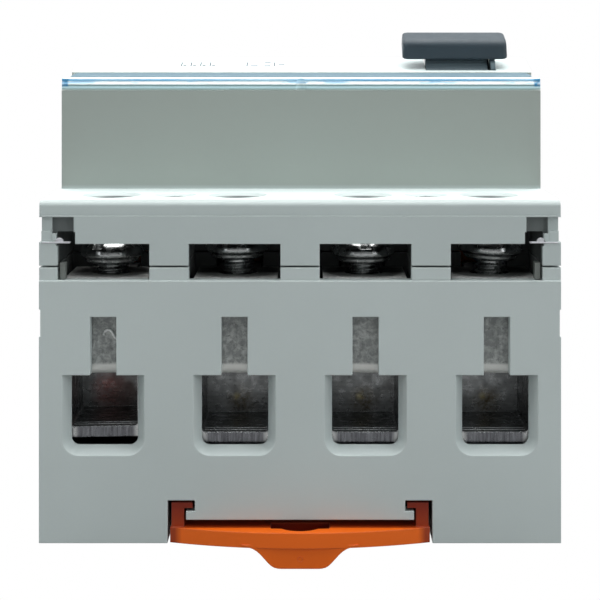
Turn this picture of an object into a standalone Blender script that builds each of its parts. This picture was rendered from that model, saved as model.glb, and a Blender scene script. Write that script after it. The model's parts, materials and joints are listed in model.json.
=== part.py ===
"""Four-pole residual current device for a 35 mm DIN rail.

Frame: +X across the width, +Y from the load terminals (outgoing) to the line
terminals (incoming), +Z away from the rail towards the toggle. The origin is
on the rail's front plane, in the middle of the width and of the nose.
Everything is written in millimetres and scaled to metres by MM.
"""

import math

import bmesh
import bpy
from mathutils import Matrix

MM = 0.001

# Overall sizes of a four-module DIN-rail device
WIDTH = 71.0
HALF_W = WIDTH / 2
HALF_D = 41.5  # half of the 83 mm height of the case
NOSE_D = 22.5  # half of the 45 mm nose
BACK = -2.45  # back of the case, behind the rail's front plane
SPLIT_LOW, SPLIT_HIGH = 35.0, 35.25  # the parting line of base and cover
SHOULDER = 44.0
FACE_EDGE, FACE_STEP, FACE_TOP = 58.6, 61.1, 63.06

PITCH = 17.84
POLES = [(k - 1.5) * PITCH for k in range(4)]
SCREW_Y = 32.0

# Case walls and terminal bays
WALL = 2.0
BAY_HALF = 6.6
BAY_NEAR, BAY_FAR = 25.8, 39.5
BAY_FLOOR = 9.2
CAVITY_D = 24.4
CEILING = 42.3

# Openings in each end face
WINDOW_HALF, WINDOW_Z0, WINDOW_Z1 = 6.25, 33.27, 38.2
SLOT_HALF, SLOT_Z0, SLOT_Z1 = 1.78, 20.2, 28.29
ENTRY_OUTER = (11.2, 9.46, 2.3)  # width, lowest z, corner radius
ENTRY_INNER = (9.09, 10.54, 1.1)
ENTRY_TOP = 20.37

# Terminal clamp, M5
PLATE_Z0, PLATE_Z1 = 31.6, 33.1
SHELF_Z0, SHELF_Z1 = 19.9, 21.3
STRIP_Y = -7.2  # front of the bent conductor, from the screw's axis
CAGE_X, CAGE_WALL = 5.85, 1.2
CAGE_Y0, CAGE_Y1 = -6.9, 5.8
CAGE_Z0, CAGE_FLOOR, CAGE_ROOF, CAGE_Z1 = 10.6, 12.4, 22.4, 24.4
HEAD_Z, HEAD_R, SHANK_R = 35.15, 4.6, 2.4
SHANK_END = 22.3

# Toggle
TOGGLE_X, TOGGLE_Z = 24.6, 52.0
TOGGLE_R = 15.7
TOGGLE_TILT = math.radians(32.8)
CRANK_R = 4.15
PIN_R = 1.2

# Rail latch
LATCH_HALF = 17.65
LATCH_SAG = 2.8

# Test button
TEST_X, TEST_Y = -17.84, 17.2

# Label window
LABEL_HINGE = (-13.7, 60.4)  # y, z

# Contacts
CONTACT_Y = 7.2
CARRIER_Z0, CARRIER_Z1 = 41.6, 45.0

# Summation transformer, its axis along Y
RING_Z, RING_Y0, RING_Y1 = 14.6, -15.6, -5.5
WIRE_R = 1.1


for thing in list(bpy.data.objects):
    bpy.data.objects.remove(thing, do_unlink=True)

PARTS = bpy.data.collections.new("residual_current_device")
CUTTERS = bpy.data.collections.new("cutters")
for group in (PARTS, CUTTERS):
    bpy.context.scene.collection.children.link(group)
CUTTERS.hide_render = True


def material(name, colour, roughness, metallic=0.0, alpha=1.0, transmission=0.0):
    mat = bpy.data.materials.new(name)
    mat.use_nodes = True
    node = mat.node_tree.nodes["Principled BSDF"]
    node.inputs["Base Color"].default_value = (*colour, 1)
    node.inputs["Roughness"].default_value = roughness
    node.inputs["Metallic"].default_value = metallic
    node.inputs["Alpha"].default_value = alpha
    node.inputs["Transmission Weight"].default_value = transmission
    mat.diffuse_color = (*colour, 1)
    return mat


GREY = material("grey_moulding", (0.36, 0.40, 0.40), 0.55)
PALE = material("pale_grey_moulding", (0.34, 0.39, 0.38), 0.5)
CLEAR = material("clear_plastic", (0.75, 0.86, 0.9), 0.08, alpha=0.4, transmission=0.9)
CARD = material("card", (0.8, 0.8, 0.78), 0.8)
DARK = material("dark_plastic", (0.045, 0.065, 0.08), 0.4)
ORANGE = material("orange_plastic", (0.6, 0.11, 0.02), 0.45)
BLACK = material("black_plastic", (0.02, 0.02, 0.022), 0.5)
STEEL = material("zinc_steel", (0.45, 0.46, 0.46), 0.35, 1.0)
COPPER = material("copper", (0.72, 0.33, 0.2), 0.3, 1.0)
TINNED = material("tinned_copper", (0.5, 0.5, 0.49), 0.4, 1.0)
LACQUER = material("wire_lacquer", (0.45, 0.13, 0.05), 0.35)
FERRITE = material("core_alloy", (0.2, 0.2, 0.21), 0.5, 1.0)
SPRING = material("spring_steel", (0.5, 0.5, 0.5), 0.25, 1.0)
BEIGE = material("beige_plastic", (0.6, 0.52, 0.38), 0.5)
CERAMIC = material("resistor_body", (0.35, 0.45, 0.55), 0.5)


# ---------------------------------------------------------------- helpers
def put(mesh, name, group, mat=None):
    obj = bpy.data.objects.new(name, mesh)
    group.objects.link(obj)
    if group is CUTTERS:
        obj.hide_render = True
        obj.display_type = "WIRE"
    if mat is not None:
        mesh.materials.clear()
        mesh.materials.append(mat)
    return obj


def scaled(mesh):
    mesh.transform(Matrix.Scale(MM, 4))
    return mesh


def boxes(name, extents, group=CUTTERS, mat=None):
    """One mesh of axis-aligned boxes, each given as x0, x1, y0, y1, z0, z1."""
    bm = bmesh.new()
    for x0, x1, y0, y1, z0, z1 in extents:
        place = Matrix.Translation(((x0 + x1) / 2, (y0 + y1) / 2, (z0 + z1) / 2))
        size = Matrix.Diagonal((abs(x1 - x0), abs(y1 - y0), abs(z1 - z0), 1))
        bmesh.ops.create_cube(bm, size=1, matrix=place @ size)
    mesh = bpy.data.meshes.new(name)
    bm.to_mesh(mesh)
    bm.free()
    return put(scaled(mesh), name, group, mat)


TURN = {
    "Z": Matrix.Identity(4),
    "X": Matrix.Rotation(math.radians(90), 4, "Y"),
    "Y": Matrix.Rotation(math.radians(-90), 4, "X"),
}


def cylinders(name, rods, axis="Z", segments=16, group=CUTTERS, mat=None):
    """One mesh of cylinders, each given as a, b, start, end, radius. a and b are the two other coordinates, in x, y, z order."""
    bm = bmesh.new()
    for a, b, start, end, radius in rods:
        middle = (start + end) / 2
        where = {"Z": (a, b, middle), "Y": (a, middle, b), "X": (middle, a, b)}[axis]
        bmesh.ops.create_cone(
            bm,
            cap_ends=True,
            segments=segments,
            radius1=radius,
            radius2=radius,
            depth=end - start,
            matrix=Matrix.Translation(where) @ TURN[axis],
        )
    mesh = bpy.data.meshes.new(name)
    bm.to_mesh(mesh)
    bm.free()
    return put(scaled(mesh), name, group, mat)


def as_mesh(obj, name, group, mat):
    """The evaluated object as a welded mesh object; the source is removed."""
    bpy.context.view_layer.update()
    graph = bpy.context.evaluated_depsgraph_get()
    evaluated = obj.evaluated_get(graph)
    mesh = bpy.data.meshes.new_from_object(evaluated)
    mesh.transform(evaluated.matrix_world)
    bm = bmesh.new()
    bm.from_mesh(mesh)
    bmesh.ops.remove_doubles(bm, verts=bm.verts, dist=1e-6)
    bmesh.ops.recalc_face_normals(bm, faces=bm.faces)
    bm.to_mesh(mesh)
    bm.free()
    bpy.data.objects.remove(obj, do_unlink=True)
    mesh.name = name
    return put(mesh, name, group, mat)


PLANES = {
    # columns: where the outline's first, second and extrusion directions go
    "YZ": Matrix(((0, 0, 1, 0), (1, 0, 0, 0), (0, 1, 0, 0), (0, 0, 0, 1))),
    "XZ": Matrix(((1, 0, 0, 0), (0, 0, -1, 0), (0, 1, 0, 0), (0, 0, 0, 1))),
    "XY": Matrix.Identity(4),
}
NORMAL = {"YZ": (1, 0, 0), "XZ": (0, 1, 0), "XY": (0, 0, 1)}


def outline(name, points, plane, low, high, group=CUTTERS, mat=None):
    """A flat outline extruded from low to high along the plane's normal."""
    curve = bpy.data.curves.new(name, "CURVE")
    curve.dimensions = "2D"
    curve.fill_mode = "BOTH"
    curve.extrude = (high - low) / 2 * MM
    spline = curve.splines.new("POLY")
    spline.points.add(len(points) - 1)
    for point, (u, v) in zip(spline.points, points):
        point.co = (u * MM, v * MM, 0, 1)
    spline.use_cyclic_u = True
    obj = bpy.data.objects.new(name + "_curve", curve)
    PARTS.objects.link(obj)
    shift = Matrix.Translation([n * (low + high) / 2 * MM for n in NORMAL[plane]])
    obj.matrix_world = shift @ PLANES[plane]
    return as_mesh(obj, name, group, mat)


def wire(name, points, radius, group=PARTS, mat=None, sides=2, cyclic=False):
    """A round wire through the points."""
    curve = bpy.data.curves.new(name, "CURVE")
    curve.dimensions = "3D"
    curve.bevel_depth = radius * MM
    curve.bevel_resolution = sides
    curve.use_fill_caps = True
    spline = curve.splines.new("POLY")
    spline.points.add(len(points) - 1)
    for point, (x, y, z) in zip(spline.points, points):
        point.co = (x * MM, y * MM, z * MM, 1)
    obj = bpy.data.objects.new(name + "_curve", curve)
    PARTS.objects.link(obj)
    return as_mesh(obj, name, group, mat)


def arc(cu, cv, radius, start, end, steps):
    """Points on an arc, angles in degrees."""
    return [
        (
            cu + radius * math.cos(math.radians(start + (end - start) * i / steps)),
            cv + radius * math.sin(math.radians(start + (end - start) * i / steps)),
        )
        for i in range(steps + 1)
    ]


def cut(obj, cutter, operation="DIFFERENCE"):
    mod = obj.modifiers.new(operation.lower(), "BOOLEAN")
    mod.operation = operation
    mod.object = cutter
    mod.solver = "EXACT"
    return obj


def join(obj, other):
    return cut(obj, other, "UNION")


def turned(name, profile, segments, group=PARTS, mat=None):
    """A turned piece about Z: the profile (radius, z) runs from the top of the axis down the outside to the bottom of the axis."""
    mesh = bpy.data.meshes.new(name)
    points = [(r * MM, 0, z * MM) for r, z in profile]
    mesh.from_pydata(points, [(i, i + 1) for i in range(len(points) - 1)], [])
    obj = put(mesh, name, group, mat)
    screw = obj.modifiers.new("turn", "SCREW")
    screw.axis = "Z"
    screw.steps = screw.render_steps = segments
    screw.use_merge_vertices = True
    screw.merge_threshold = 1e-6
    screw.use_normal_calculate = False
    return obj


def ring(name, profile, segments, group=PARTS, mat=None):
    """A closed section (radius, along) turned about the transformer's Y axis."""
    bm = bmesh.new()
    count = len(profile)
    rows = []
    for i in range(segments):
        angle = 2 * math.pi * i / segments
        rows.append(
            [
                bm.verts.new((r * math.cos(angle), y, RING_Z + r * math.sin(angle)))
                for r, y in profile
            ]
        )
    for i in range(segments):
        a, b = rows[i], rows[(i + 1) % segments]
        for j in range(count):
            k = (j + 1) % count
            bm.faces.new((a[j], a[k], b[k], b[j]))
    bmesh.ops.recalc_face_normals(bm, faces=bm.faces)
    mesh = bpy.data.meshes.new(name)
    bm.to_mesh(mesh)
    bm.free()
    return put(scaled(mesh), name, group, mat)


def lofts(name, stacks, group=CUTTERS, mat=None):
    """Closed lofts, each through sections of equally many points."""
    bm = bmesh.new()
    for sections in stacks:
        rows = [[bm.verts.new(p) for p in section] for section in sections]
        count = len(rows[0])
        for low, high in zip(rows, rows[1:]):
            for i in range(count):
                j = (i + 1) % count
                bm.faces.new((low[i], low[j], high[j], high[i]))
        bm.faces.new(rows[0][::-1])
        bm.faces.new(rows[-1])
    bmesh.ops.recalc_face_normals(bm, faces=bm.faces)
    mesh = bpy.data.meshes.new(name)
    bm.to_mesh(mesh)
    bm.free()
    return put(scaled(mesh), name, group, mat)


def pivot(obj, x, y, z):
    """Moves the object's origin onto its joint's axis without moving the piece."""
    obj.data.transform(Matrix.Translation((-x * MM, -y * MM, -z * MM)))
    obj.location = (x * MM, y * MM, z * MM)
    return obj


def baked(obj):
    """The mesh after the modifiers, so that copies can share it."""
    bpy.context.view_layer.update()
    graph = bpy.context.evaluated_depsgraph_get()
    mesh = bpy.data.meshes.new_from_object(obj.evaluated_get(graph))
    mesh.name = obj.name
    bpy.data.objects.remove(obj, do_unlink=True)
    return mesh


def copies(stem, mesh, far):
    """Four copies of a terminal piece modelled about the screw's axis, at the line end when far, else at the load end."""
    made = []
    for k, x in enumerate(POLES):
        obj = bpy.data.objects.new(f"{stem}_{k + 1}", mesh)
        PARTS.objects.link(obj)
        obj.location = (x * MM, (SCREW_Y if far else -SCREW_Y) * MM, 0)
        obj.rotation_euler.z = math.pi if far else 0
        made.append(obj)
    return made


def smooth(obj, angle=40):
    obj.data.shade_smooth()
    obj.data.set_sharp_from_angle(angle=math.radians(angle))
    return obj


ENDS = (-1, 1)


def at_end(end, y0, y1):
    """A y extent measured from the middle, at the chosen end."""
    return (y0, y1) if end > 0 else (-y1, -y0)


# ---------------------------------------------------------------- base housing
base = outline(
    "base_housing",
    [
        (-HALF_D, BACK), (-17.9, BACK), (-17.9, 0.15), (-15.5, 0.15), (-15.5, 0),
        (15.9, 0), (15.9, 0.15), (18.1, 0.15), (18.1, -1.3),
        (16.0, -1.3), (16.4, BACK), (HALF_D, BACK), (HALF_D, 33.2), (HALF_D - 0.2, 33.2),
        (HALF_D - 0.2, SPLIT_LOW), (-HALF_D + 0.2, SPLIT_LOW), (-HALF_D + 0.2, 33.2),
        (-HALF_D, 33.2),
    ],
    "YZ", -HALF_W, HALF_W, PARTS, GREY,
)
cut(base, boxes("base_cavity", [(-33.5, 33.5, -CAVITY_D, CAVITY_D, 2.0, 40)]))
cut(base, boxes("base_bays", [
    (x - BAY_HALF, x + BAY_HALF, *at_end(end, BAY_NEAR, BAY_FAR), BAY_FLOOR, 40)
    for x in POLES for end in ENDS
]))
cut(base, boxes("base_windows", [
    (x - WINDOW_HALF, x + WINDOW_HALF, *at_end(end, BAY_FAR - 0.5, 43), WINDOW_Z0, 40)
    for x in POLES for end in ENDS
]))
cut(base, boxes("base_slots", [
    (x - SLOT_HALF, x + SLOT_HALF, *at_end(end, BAY_FAR - 0.5, 43), SLOT_Z0, SLOT_Z1)
    for x in POLES for end in ENDS
]))


def entry_section(x, end, y, width, low, radius):
    """One section of a wire entry: a flat top, straight sides and two round lower corners."""
    half = width / 2
    flat = [(half, ENTRY_TOP)]
    flat += arc(half - radius, low + radius, radius, 0, -90, 5)
    flat += arc(-half + radius, low + radius, radius, -90, -180, 5)
    flat += [(-half, ENTRY_TOP)]
    return [(x + u, end * y, v) for u, v in flat]


def entry(x, end):
    """The funnel of a wire entry, carried on past both faces of the wall."""
    (w0, z0, r0), (w1, z1, r1) = ENTRY_OUTER, ENTRY_INNER
    depth = 1.9
    past = 0.4 / depth
    return [
        entry_section(x, end, HALF_D + 0.4, w0 + (w0 - w1) * past, z0 + (z0 - z1) * past, r0 + (r0 - r1) * past),
        entry_section(x, end, HALF_D - depth, w1, z1, r1),
        entry_section(x, end, BAY_FAR - 0.8, w1, z1, r1),
    ]


cut(base, lofts("wire_entries", [entry(x, end) for x in POLES for end in ENDS]))
# Passages for the conductors' tails through the partitions
cut(base, boxes("tail_passages", [
    (x - 3.4, x + 3.4, *at_end(end, CAVITY_D - 0.6, BAY_NEAR + 0.6), 30.9, 40)
    for x in POLES for end in ENDS
]))
# Guide for the rail latch: a wide channel for its plate, and a deeper pocket
# whose hanging tongue the latch's hooked arms ride on
cut(base, outline(
    "latch_pocket",
    [
        (-18.0, -4), (-18.0, 3.36), (-14.3, 3.36), (-14.3, 1.87), (-15.5, 1.87), (-15.5, 0.72),
        (15.5, 0.72), (15.5, 1.87), (14.3, 1.87), (14.3, 3.36), (18.0, 3.36), (18.0, -4),
    ],
    "XZ", -43, -26.0,
))
cut(base, boxes("latch_channel", [(-18.0, 18.0, -26.5, -17.0, -4, 0.72)]))
# Blind bores for the case screws
cut(base, cylinders("screw_bores", [
    (x, end * SCREW_Y, 16, 40, 1.6) for x in (-PITCH, PITCH) for end in ENDS
], segments=12))
# Posts that carry the mechanism frame and the test spring
for index, (x, y, top) in enumerate(((PITCH, 8.9, 45.1), (PITCH, -8.9, 45.1), (0, 8.9, 45.1), (TEST_X, TEST_Y, 50.0))):
    join(base, boxes(f"post_{index}", [(x - 1.4, x + 1.4, y - 1.4, y + 1.4, 1.2, top)]))


# ---------------------------------------------------------------- front cover
edge = 0.7
cover = outline(
    "front_cover",
    [(-41.3, SPLIT_HIGH), (-41.3, 42.0), (-41.1, 42.0)]
    + arc(-41.1 + edge, SHOULDER - edge, edge, 180, 90, 3)
    + [
        (-NOSE_D, SHOULDER), (-NOSE_D, FACE_EDGE), (-21.2, FACE_EDGE), (-21.2, 58.0),
        (-12.7, 58.0), (-12.7, FACE_STEP), (-5.0, FACE_TOP), (5.0, FACE_TOP), (12.7, FACE_STEP),
    ]
    + arc(NOSE_D - 1.0, 60.0, 1.0, 90, 0, 3)
    + [(NOSE_D, SHOULDER)]
    + arc(41.1 - edge, SHOULDER - edge, edge, 90, 0, 3)
    + [(41.1, 42.0), (41.3, 42.0), (41.3, SPLIT_HIGH)],
    "YZ", -HALF_W, HALF_W, PARTS, PALE,
)
cut(cover, outline(
    "nose_cavity",
    [
        (-21.0, 34), (-21.0, 56.4), (-11.2, 56.4), (-11.2, 59.9), (-4.7, 61.5), (4.7, 61.5),
        (11.2, 59.8), (21.0, 59.3), (21.0, 34),
    ],
    "YZ", -33.3, 33.3,
))
cut(cover, boxes("cover_cavity", [(-33.5, 33.5, -CAVITY_D, CAVITY_D, 34, CEILING)]))
cut(cover, boxes("cover_bays", [
    (x - BAY_HALF, x + BAY_HALF, *at_end(end, BAY_NEAR, BAY_FAR), 34, CEILING)
    for x in POLES for end in ENDS
]))
cut(cover, boxes("cover_windows", [
    (x - WINDOW_HALF, x + WINDOW_HALF, *at_end(end, BAY_FAR - 0.5, 43), 34, WINDOW_Z1)
    for x in POLES for end in ENDS
]))
cut(cover, cylinders("screw_access", [
    (x, end * SCREW_Y, CEILING - 1, 46, 3.6) for x in POLES for end in ENDS
], segments=20))
cut(cover, cylinders("case_screw_heads", [
    (x, end * SCREW_Y, 42.9, 46, 2.5) for x in (-PITCH, PITCH) for end in ENDS
], segments=16))
cut(cover, cylinders("case_screw_holes", [
    (x, end * SCREW_Y, 34, 44.5, 1.6) for x in (-PITCH, PITCH) for end in ENDS
], segments=12))
# Notches beside the outer windows: shallow above, open to the bay below
cut(cover, boxes("corner_recesses", [
    (side * 30.8, side * 33.8, *at_end(end, 40.2, 43), 39.6, 41.85) for side in ENDS for end in ENDS
]))
cut(cover, boxes("corner_openings", [
    (side * 30.6, side * 33.2, *at_end(end, BAY_FAR - 0.5, 43), 37.9, 39.8) for side in ENDS for end in ENDS
]))
cut(cover, boxes("toggle_slot", [(19.3, 30.2, -11.6, 11.6, 57.5, 65)]))
cut(cover, boxes("test_hole", [(TEST_X - 3.8, TEST_X + 3.8, TEST_Y - 2.9, TEST_Y + 2.9, 57.5, 65)]))


# ---------------------------------------------------------------- label window and card
window = outline(
    "label_window",
    [(-NOSE_D, 58.9), (-NOSE_D, 60.1)]
    + [(-22.1, 60.45), (-18.0, 60.8), (-13.3, 61.0), (-13.25, 59.5), (-21.3, 59.3), (-21.5, 58.9)],
    "YZ", -35.3, 35.3, PARTS, CLEAR,
)
cut(window, cylinders("finger_notch", [(0.0, -22.9, 58, 62, 1.0)], segments=16))
pivot(window, 0, *LABEL_HINGE)
boxes("label_card", [(-34.9, 34.9, -20.8, -13.1, 58.3, 58.8)], PARTS, CARD)


# ---------------------------------------------------------------- toggle
# Modelled upright about its pin, then tilted to the off position
half = 8.25
toggle = cylinders("toggle_lever", [(0, 0, TOGGLE_X - 4.7, TOGGLE_X + 4.7, 5.3)], "X", 24, PARTS, DARK)
# neck, from the drum to the grip
join(toggle, boxes("toggle_neck", [(TOGGLE_X - 4.7, TOGGLE_X + 4.7, -2.0, 2.0, 4.0, 15.8)]))
# the grip, a rounded bar across the neck
grip = (
    arc(-1.4, TOGGLE_R, 1.3, 180, 90, 3) + arc(1.5, TOGGLE_R, 1.3, 90, 0, 3)
    + arc(2.2, TOGGLE_R - 0.5, 0.6, 0, -90, 2) + arc(-2.1, TOGGLE_R - 0.5, 0.6, -90, -180, 2)
)
join(toggle, outline("toggle_grip", grip, "YZ", TOGGLE_X - half, TOGGLE_X + half))
# the curved shield that closes the slot behind the neck
shield = arc(0, 0, 9.6, 20, 160, 12) + arc(0, 0, 8.7, 160, 20, 12)
join(toggle, outline("toggle_shield", shield, "YZ", TOGGLE_X - 4.65, TOGGLE_X + 4.65))
cut(toggle, cylinders("toggle_bore", [(0, 0, 10, 40, PIN_R + 0.3)], "X", 16))
# the crank pin that lifts and lowers the drive link. It sits level with the
# axis when the toggle stands upright
join(toggle, cylinders("toggle_crank", [(CRANK_R, 0, TOGGLE_X - 7.1, TOGGLE_X - 4.0, 0.9)], "X", 12))
tilt = Matrix.Translation((0, 0, TOGGLE_Z * MM)) @ Matrix.Rotation(TOGGLE_TILT, 4, "X")
for name in ("toggle_neck", "toggle_grip", "toggle_shield", "toggle_bore", "toggle_crank"):
    bpy.data.objects[name].data.transform(tilt)
toggle.data.transform(tilt)
pivot(toggle, TOGGLE_X, 0, TOGGLE_Z)

cylinders("toggle_pin", [(0, TOGGLE_Z, 15.6, 31.9, PIN_R)], "X", 16, PARTS, STEEL)


def coil(name, x, y, z0, z1, radius, thick, turns, per_turn=8, axis="Z", mat=SPRING):
    count = int(turns * per_turn)
    points = []
    for i in range(count + 1):
        angle = 2 * math.pi * i / per_turn
        along = z0 + thick + (z1 - z0 - 2 * thick) * i / count
        u, v = radius * math.cos(angle), radius * math.sin(angle)
        points.append((x + u, y + v, along) if axis == "Z" else (along, x + u, y + v))
    return wire(name, points, thick, PARTS, mat, 1)


# the return spring sits on the toggle pin, between the drum and the right cheek
coil("toggle_spring", 0, TOGGLE_Z, 29.6, 30.2, 2.2, 0.14, 1.0, 12, "X")


# ---------------------------------------------------------------- mechanism frame and drive
frame = boxes("mechanism_frame", [(-14.0, 32.2, -10.2, 10.2, 45.4, 46.4)], PARTS, STEEL)
for index, x in enumerate((15.9, 30.9)):
    cheek = [(-6.0, 46.0), (6.0, 46.0), (3.4, 53.0)] + arc(0, TOGGLE_Z, 3.4, 15, 165, 6) + [(-3.4, 53.0)]
    join(frame, outline(f"cheek_{index}", cheek, "YZ", x, x + 1.0))
cut(frame, cylinders("pin_holes", [(0, TOGGLE_Z, 10, 40, PIN_R + 0.3)], "X", 16))
cut(frame, boxes("link_slot", [(17.4, 19.6, 1.0, 7.0, 44, 48)]))

link = outline(
    "drive_link",
    [(1.6, 45.3), (6.4, 45.3), (6.4, 55.6), (5.4, 56.5), (2.6, 56.5), (1.6, 55.6)],
    "YZ", 17.9, 19.1, PARTS, STEEL,
)
crank_y = CRANK_R * math.cos(TOGGLE_TILT)
crank_z = TOGGLE_Z + CRANK_R * math.sin(TOGGLE_TILT)
cut(link, boxes("link_yoke", [(17, 20, crank_y - 1.2, CRANK_R + 1.2, crank_z - 1.25, crank_z + 1.25)]))


# ---------------------------------------------------------------- contacts
carrier = boxes("contact_carrier", [(-30.5, 30.5, -3.6, 3.6, CARRIER_Z0, CARRIER_Z1)], PARTS, BLACK)
cut(carrier, cylinders("spring_pockets", [(x, 0, 40, 43.5, 2.7) for x in POLES], segments=16))
join(carrier, boxes("carrier_arm", [(17.2, 19.8, 3.0, 6.9, CARRIER_Z0 + 0.4, CARRIER_Z1)]))

for k, x in enumerate(POLES):
    bridge = boxes(f"moving_contact_{k + 1}", [(x - 2.4, x + 2.4, -9.0, 9.0, 38.1, 39.3)], PARTS, COPPER)
    join(bridge, cylinders(f"contact_tips_{k + 1}", [
        (x, -CONTACT_Y, 37.9, 38.5, 1.7), (x, CONTACT_Y, 37.9, 38.5, 1.7)
    ], segments=12))
    coil(f"contact_spring_{k + 1}", x, 0, 39.6, 43.2, 2.0, 0.28, 3, 8)


# ---------------------------------------------------------------- summation transformer and its four conductors
def channel(outer_wall, inner_wall, y_open, y_shut, thick):
    """A U section, open towards y_open, between an inner and an outer radius."""
    step = thick if y_shut < y_open else -thick
    return [
        (inner_wall, y_open), (inner_wall, y_shut), (outer_wall, y_shut), (outer_wall, y_open),
        (outer_wall - thick, y_open), (outer_wall - thick, y_shut + step),
        (inner_wall + thick, y_shut + step), (inner_wall + thick, y_open),
    ]


ring("secondary_winding", channel(12.0, 5.2, RING_Y1, RING_Y0, 0.8), 24, PARTS, LACQUER)
ring("transformer_case", channel(10.9, 6.3, RING_Y0 + 1.1, RING_Y1, 0.7), 24, PARTS, BEIGE)
ring("transformer_core", [(7.3, -14.2), (9.9, -14.2), (9.9, -6.5), (7.3, -6.5)], 24, PARTS, FERRITE)

for k, x in enumerate(POLES):
    side = -1 if x < 0 else 1
    hole_x = side * 1.7
    hole_z = RING_Z + (1.7 if abs(x) < PITCH else -1.7)
    conductor = wire(
        f"primary_wire_{k + 1}",
        [
            (x, -22.9, 31.2), (x, -22.9, hole_z + 1.5), (x - side * 1.5, -22.5, hole_z),
            (hole_x, -18.8, hole_z), (hole_x, -3.0, hole_z), (x - side * 1.5, 0.6, hole_z),
            (x, 1.0, hole_z + 1.5), (x, 1.0, 32.0),
        ],
        WIRE_R, PARTS, COPPER,
    )
    join(conductor, boxes(f"load_contact_{k + 1}", [(x - 2.4, x + 2.4, -9.0, 2.5, 31.3, PLATE_Z1)]))


# ---------------------------------------------------------------- relay, trip lever, test circuit
relay = boxes("relay_housing", [(-13.0, 5.0, -7.5, 7.5, 46.7, 58.0)], PARTS, BLACK)
cut(relay, cylinders("relay_bore", [(0, 54.5, -6.0, 8, 1.3)], "X", 12))
plunger = cylinders("relay_plunger", [(0, 54.5, -4.0, 8.8, 1.0)], "X", 12, PARTS, STEEL)
pivot(plunger, 0, 0, 54.5)
lever = outline(
    "trip_lever",
    [(9.1, 47.6), (10.1, 46.8), (11.4, 46.8), (12.2, 47.6), (12.2, 49.0), (10.6, 50.5), (10.6, 57.5), (9.1, 57.5)],
    "XZ", -3.0, 3.0, PARTS, BEIGE,
)
pivot(lever, 10.7, 0, 48.2)

button = boxes("test_button", [(TEST_X - 3.5, TEST_X + 3.5, TEST_Y - 2.6, TEST_Y + 2.6, 56.6, 62.6)], PARTS, DARK)
bevel = button.modifiers.new("edges", "BEVEL")
bevel.width = 0.5 * MM
bevel.segments = 1
join(button, boxes("test_flange", [(TEST_X - 4.6, TEST_X + 4.6, TEST_Y - 3.6, TEST_Y + 3.6, 56.2, 57.4)]))
pivot(button, TEST_X, TEST_Y, 60.0)
coil("test_spring", TEST_X, TEST_Y, 50.3, 55.9, 1.8, 0.25, 4, 8)

resistor = cylinders("test_resistor", [(9.0, 50.0, -30.0, -19.5, 1.7)], "X", 12, PARTS, CERAMIC)
join(resistor, cylinders("resistor_leads", [(9.0, 50.0, -32.6, -16.4, 0.35)], "X", 8))


# ---------------------------------------------------------------- terminals
# Modelled about the screw's axis, the end face towards -Y
terminals = {}
for end_name, tail in (("load", SCREW_Y - 22.5), ("line", SCREW_Y - 5.5)):
    strip = boxes(f"{end_name}_strip", [(-5.8, 5.8, STRIP_Y, 5.0, PLATE_Z0, PLATE_Z1)], PARTS, TINNED)
    join(strip, boxes(f"{end_name}_tail", [(-3.0, 3.0, 4.0, tail, PLATE_Z0, PLATE_Z1)]))
    join(strip, boxes(f"{end_name}_web", [(-1.7, 1.7, STRIP_Y + 0.05, STRIP_Y + 1.3, SHELF_Z0 + 0.3, PLATE_Z1 - 0.3)]))
    join(strip, boxes(f"{end_name}_shelf", [(-4.2, 4.2, STRIP_Y + 0.1, 4.2, SHELF_Z0, SHELF_Z1)]))
    cut(strip, cylinders(f"{end_name}_clearance", [(0, 0, 30, 34, 2.8)], segments=16))
    terminals[end_name] = baked(strip)
copies("load_terminal", terminals["load"], False)
copies("line_terminal", terminals["line"], True)

cage = boxes("cage", [(-CAGE_X, CAGE_X, CAGE_Y0, CAGE_Y1, CAGE_Z0, CAGE_Z1)], PARTS, STEEL)
inner = CAGE_X - CAGE_WALL
cut(cage, boxes("cage_room", [(-inner, inner, -9, CAGE_Y1 - 1.0, CAGE_FLOOR, CAGE_ROOF)]))
cut(cage, boxes("cage_mouth", [(-inner, inner, -9, -5.4, CAGE_ROOF - 1, CAGE_Z1 + 1)]))
cut(cage, cylinders("cage_thread", [(0, 0, 21, 26, 2.6)], segments=16))
cage_mesh = baked(cage)
load_cages = copies("load_cage", cage_mesh, False)
copies("line_cage", cage_mesh, True)
load_cages[0].location.z += 0.8 * MM  # one clamp has been turned up a turn

screw = turned(
    "screw",
    [
        (0, 38.3), (2.3, 38.1), (3.8, 37.5), (HEAD_R, 36.6), (4.3, 35.7), (3.2, HEAD_Z),
        (SHANK_R, HEAD_Z), (SHANK_R, SHANK_END + 0.5), (SHANK_R - 0.5, SHANK_END), (0, SHANK_END),
    ],
    16, PARTS, STEEL,
)
cut(screw, boxes("drive_slot", [(-0.75, 0.75, -6, 6, 37.0, 39)]))
cut(screw, boxes("drive_cross", [(-2.6, 2.6, -0.75, 0.75, 36.6, 39)]))
screw_mesh = baked(screw)
TURNS = (23, 52, -3, 65)
for obj, angle in zip(copies("load_screw", screw_mesh, False), TURNS):
    obj.rotation_euler.z += math.radians(-angle)
for obj, angle in zip(copies("line_screw", screw_mesh, True), TURNS[::-1]):
    obj.rotation_euler.z += math.radians(angle)

case_screw = baked(turned(
    "case_screw",
    [(0, 43.8), (1.7, 43.7), (2.2, 43.4), (2.2, 43.2), (1.3, 43.2), (1.3, 19.5), (0, 18.0)],
    12, PARTS, STEEL,
))
index = 0
for end in ENDS:
    for x in (-PITCH, PITCH):
        index += 1
        obj = bpy.data.objects.new(f"case_screw_{index}", case_screw)
        PARTS.objects.link(obj)
        obj.location = (x * MM, end * SCREW_Y * MM, 0)


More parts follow.
